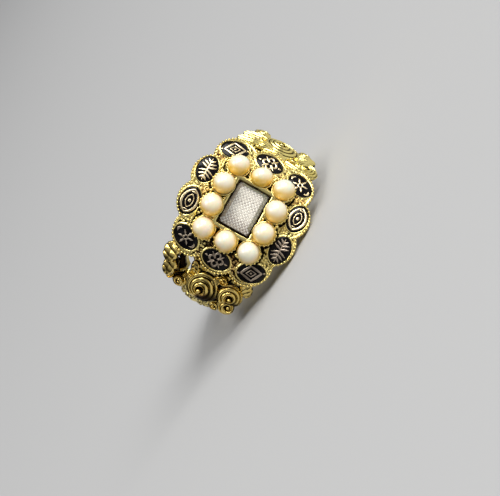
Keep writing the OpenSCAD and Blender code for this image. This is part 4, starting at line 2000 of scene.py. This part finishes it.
@dataclass
class Locket:
    """The ledge, the frame of the crystal, the crystal and the hair under it."""

    crystal_long: float = 2.38
    crystal_wide: float = 1.74
    ledge: float = 0.71
    ledge_top: float = 0.42
    frame_top: float = 0.66
    floor: float = 0.12
    gap: float = 0.025
    hair_floor: float = 0.145
    hair_t: float = 0.2
    warp_pitch: float = 0.2
    warp_share: float = 0.49
    warp_rise: float = 0.035
    weft_pitch: float = 0.22
    weft_share: float = 0.4
    weft_rise: float = 0.03
    seed: int = 17

    def collar(self, grow: float, height: float, corner: float) -> Array:
        """A rounded rectangle round the crystal.

        Args:
            grow: Distance outside the crystal.
            height: Height over the head.
            corner: Radius of its corners.

        Returns:
            Its points.
        """
        quarter = np.linspace(0, np.pi / 2, 9)
        long, wide = self.crystal_long + grow - corner, self.crystal_wide + grow - corner
        corners = [
            about_axis(corner, quarter + k * np.pi / 2, RING.head_top + height) + [long * sx, wide * sy, 0]
            for k, (sx, sy) in enumerate(((1, 1), (-1, 1), (-1, -1), (1, -1)))
        ]
        return np.concatenate(corners)

    def build_frame(self, finish: Material) -> None:
        """Makes the ledge and the frame of the crystal.

        Args:
            finish: Their material.
        """
        out, top, lip = self.ledge, self.ledge_top, self.frame_top
        profile = (
            (out, -0.4, 0.25, 0.8), (out, 0.3, 0.25, 0.6), (out - 0.05, top - 0.03, 0.25, 0.3),
            (out - 0.12, top, 0.25, 0.1), (0.26, top, 0.12, 0.3), (0.2, top - 0.04, 0.1, 1),
            (0.11, lip - 0.05, 0.08, 0.95), (0.09, lip, 0.08, 0.74), (0.06, lip + 0.01, 0.06, 0.74),
            (self.gap, lip - 0.04, 0.04, 0.9), (self.gap, self.floor + 0.02, 0.04, 1),
            (-0.3, self.floor, 0.04, 1),
        )
        casting = Casting()
        casting.loft(np.stack([self.collar(*ring[:3]) for ring in profile]), [ring[3] for ring in profile])
        casting.piece("crystal_frame", finish, sharp=40)

    def browned(self, x: Any, y: Any) -> Any:
        """How brown the hair is, most at one corner of the near end."""
        return 0.45 * smooth((0.27 * y - 0.96 * x + 0.2) / 2.4)

    def build_hair(self, finish: Material) -> None:
        """Makes the woven hair.

        Args:
            finish: Its material.
        """
        rng = np.random.default_rng(self.seed)
        casting, out = Casting(), np.array([0.0, 0.0, 1.0])
        warp_half, weft_half = self.warp_pitch * self.warp_share, self.weft_pitch * self.weft_share
        long, wide = self.crystal_long - 0.03, self.crystal_wide - 0.03
        middle, swing = RING.head_top + self.hair_floor + self.hair_t * 0.62, self.hair_t * 0.2
        warps = np.arange(-wide + self.warp_pitch / 2, wide, self.warp_pitch)
        wefts = np.arange(-long + self.weft_pitch / 2, long, self.weft_pitch)
        for k, y in enumerate(warps):
            x = np.linspace(-long, long, len(wefts) * 5)
            lift = middle - (-1) ** k * swing * np.cos((x - wefts[0]) / self.weft_pitch * np.pi)
            sway = 0.012 * np.sin(x * rng.uniform(0.6, 1.6) + rng.uniform(0, 6))
            tone = rng.uniform(0, 0.25) + self.browned(x, y)
            casting.wire(np.stack([x, y + sway, lift], -1), out, warp_half, self.warp_rise, tone)
        for k, x in enumerate(wefts):
            y = np.linspace(-wide, wide, len(warps) * 5)
            lift = middle + (-1) ** k * swing * np.cos((y - warps[0]) / self.warp_pitch * np.pi)
            tone = rng.uniform(0.4, 0.8) + self.browned(x, y)
            path = np.stack([np.full(len(y), x), y, lift], -1)
            casting.wire(path, out, weft_half, self.weft_rise, tone)
        casting.loft(np.stack([self.collar(-0.02, self.hair_floor + rise, 0.03) for rise in (0, 0.04)]), 1.0)
        casting.piece("hair_weave", finish, "hair", "hair_panel", 80)

    def dress_crystal(self, finish: Material) -> None:
        """Gives the CAD crystal its finish and softens its edges.

        Args:
            finish: Its material.
        """
        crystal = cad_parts["crystal"]
        crystal.data.materials.clear()
        crystal.data.materials.append(finish)
        bevel = crystal.modifiers.new("soft_edges", "BEVEL")
        bevel.width, bevel.segments = 0.02 * MM, 2
        bevel.limit_method, bevel.angle_limit = "ANGLE", math.radians(12)
        log.info("crystal: kept from the frame")


# Studio


@dataclass
class Studio:
    """Floor, soft light and the camera at the photograph's angle."""

    toward: tuple[float, float, float] = (-0.131, -0.025, 0.991)
    roll: float = 60.7
    distance: float = 200.0
    pixels_per_mm: float = 9.4
    picture_width: int = 500
    head_at: tuple[float, float] = (-6.4, 38.5)
    sensor: float = 36.0
    light_distance: float = 1.8
    surround: float = 0.49
    floor_half: float = 3.0

    def axes(self) -> tuple[Array, Array, Array]:
        """Directions of the camera.

        Returns:
            Right, up and backward, in the ring's frame.
        """
        back = np.array(self.toward) / np.linalg.norm(self.toward)
        x = np.array([1.0, 0, 0]) - back * back[0]
        x /= np.linalg.norm(x)
        return *swung(x, np.cross(back, x), -self.roll), back

    def camera(self) -> None:
        """Makes the camera."""
        right, up, back = self.axes()
        scale = self.pixels_per_mm
        at = np.array([0, 0, RING.head_top]) + self.distance * back
        matrix = np.eye(4)
        matrix[:3, :3] = RING.turned([right, up, back]).T
        matrix[:3, 3] = RING.world(at - self.head_at[0] / scale * right - self.head_at[1] / scale * up)
        data = bpy.data.cameras.new("camera")
        data.sensor_width = self.sensor
        data.lens = self.sensor * scale * self.distance / self.picture_width
        data.clip_start, data.clip_end = 0.005, 50
        camera = bpy.data.objects.new("camera", data)
        camera.matrix_world = Matrix(matrix.tolist())
        bpy.context.scene.collection.objects.link(camera)
        bpy.context.scene.camera = camera

    def softbox(self, name: str, way: Array, size: float, power: float,
                color: Sequence[float] = (1, 1, 1)) -> None:
        """Hangs a square soft light that faces the ring.

        Args:
            name: Its name.
            way: Direction from the ring to it, in the ring's frame.
            size: Its side, in metres.
            power: Its power, in watts.
            color: Its colour.
        """
        data = bpy.data.lights.new(name, "AREA")
        data.shape, data.size, data.energy, data.color = "SQUARE", size, power, color
        light = bpy.data.objects.new(name, data)
        out = Vector(RING.turned(way).tolist()).normalized()
        light.location = Vector(RING.world([0, 0, 6.0]).tolist()) + out * self.light_distance
        light.rotation_mode = "QUATERNION"
        light.rotation_quaternion = out.to_track_quat("Z", "Y")
        bpy.context.scene.collection.objects.link(light)

    def lights(self) -> None:
        """Hangs the lights and sets the soft surroundings."""
        right, up, back = self.axes()
        self.softbox("key_light", 0.55 * back + 0.9 * up, 1.1, 34)
        self.softbox("top_light", 0.5 * back - 0.85 * right + 0.35 * up, 0.8, 9, (1, 0.99, 0.97))
        self.softbox("spark_light", 0.8 * back + 0.5 * up - 0.35 * right, 0.4, 4)
        world = bpy.data.worlds.new("soft_studio")
        bpy.context.scene.world = world
        world.use_nodes = True
        bench = Bench(world.node_tree)
        way = bench.node("ShaderNodeTexCoord", output="Generated")
        share = bench.along(way, unit(0.35 * back + 0.8 * up - 0.45 * right)).step(-0.2, 0.95)
        color = bench.blend(share, (0.035, 0.03, 0.025, 1), (0.95, 0.96, 1.0, 1))
        shine = bench.node("ShaderNodeBackground", {"Color": color, "Strength": self.surround})
        bench.node("ShaderNodeOutputWorld", {"Surface": shine})

    def floor(self) -> None:
        """Lays the floor."""
        half = self.floor_half
        mesh = bpy.data.meshes.new("floor")
        mesh.from_pydata([(-half, -half, 0), (half, -half, 0), (half, half, 0), (-half, half, 0)], [],
                         [(0, 1, 2, 3)])
        mesh.materials.append(FloorFinish().material())
        floor = bpy.data.objects.new("floor", mesh)
        bpy.context.scene.collection.objects.link(floor)

    def build(self) -> None:
        """Sets up the whole studio."""
        self.camera()
        self.lights()
        self.floor()
        bpy.context.scene.view_settings.view_transform = "Standard"


def main() -> None:
    """Builds every piece of the ring in order, then the studio."""
    logging.basicConfig(level=logging.INFO, format="%(name)s: %(message)s")
    golds = (GOLD, PAINTED_LIT_GOLD, PAINTED_SHADE_GOLD, INLAY, PAINTED_SHADE_INLAY)
    gold, painted_lit_gold, painted_shade_gold, inlay, worn = (finish.material() for finish in golds)
    enamel, nacre = EnamelFinish().material(), NacreFinish().material()
    Band().build(gold)
    # The far shoulder gets the painted-lit gold and light painted shade on its wall; the near shoulder gets
    # the painted-shade gold and deep painted shade.
    Shoulder(1, "shoulder_far", 0.35, FAR_FORMS).build(gold, painted_lit_gold)
    Shoulder(-1, "shoulder_near", 0.78, NEAR_FORMS).build(gold, painted_shade_gold)
    HeadPlate().build(gold)
    # Motifs in the cells on the side away from the key light get the inlay painted darker as shade.
    for number in range(COUNT):
        EnamelCell(number).build(enamel, worn if number in PAINTED_SHADE_CELLS else inlay)
    for number in range(COUNT):
        Pearl(number).build(nacre)
    PearlSetting().build(gold)
    locket = Locket()
    locket.build_frame(gold)
    locket.build_hair(HairFinish().material())
    locket.dress_crystal(CrystalFinish().material())
    Studio().build()


if __name__ == "__main__":
    main()
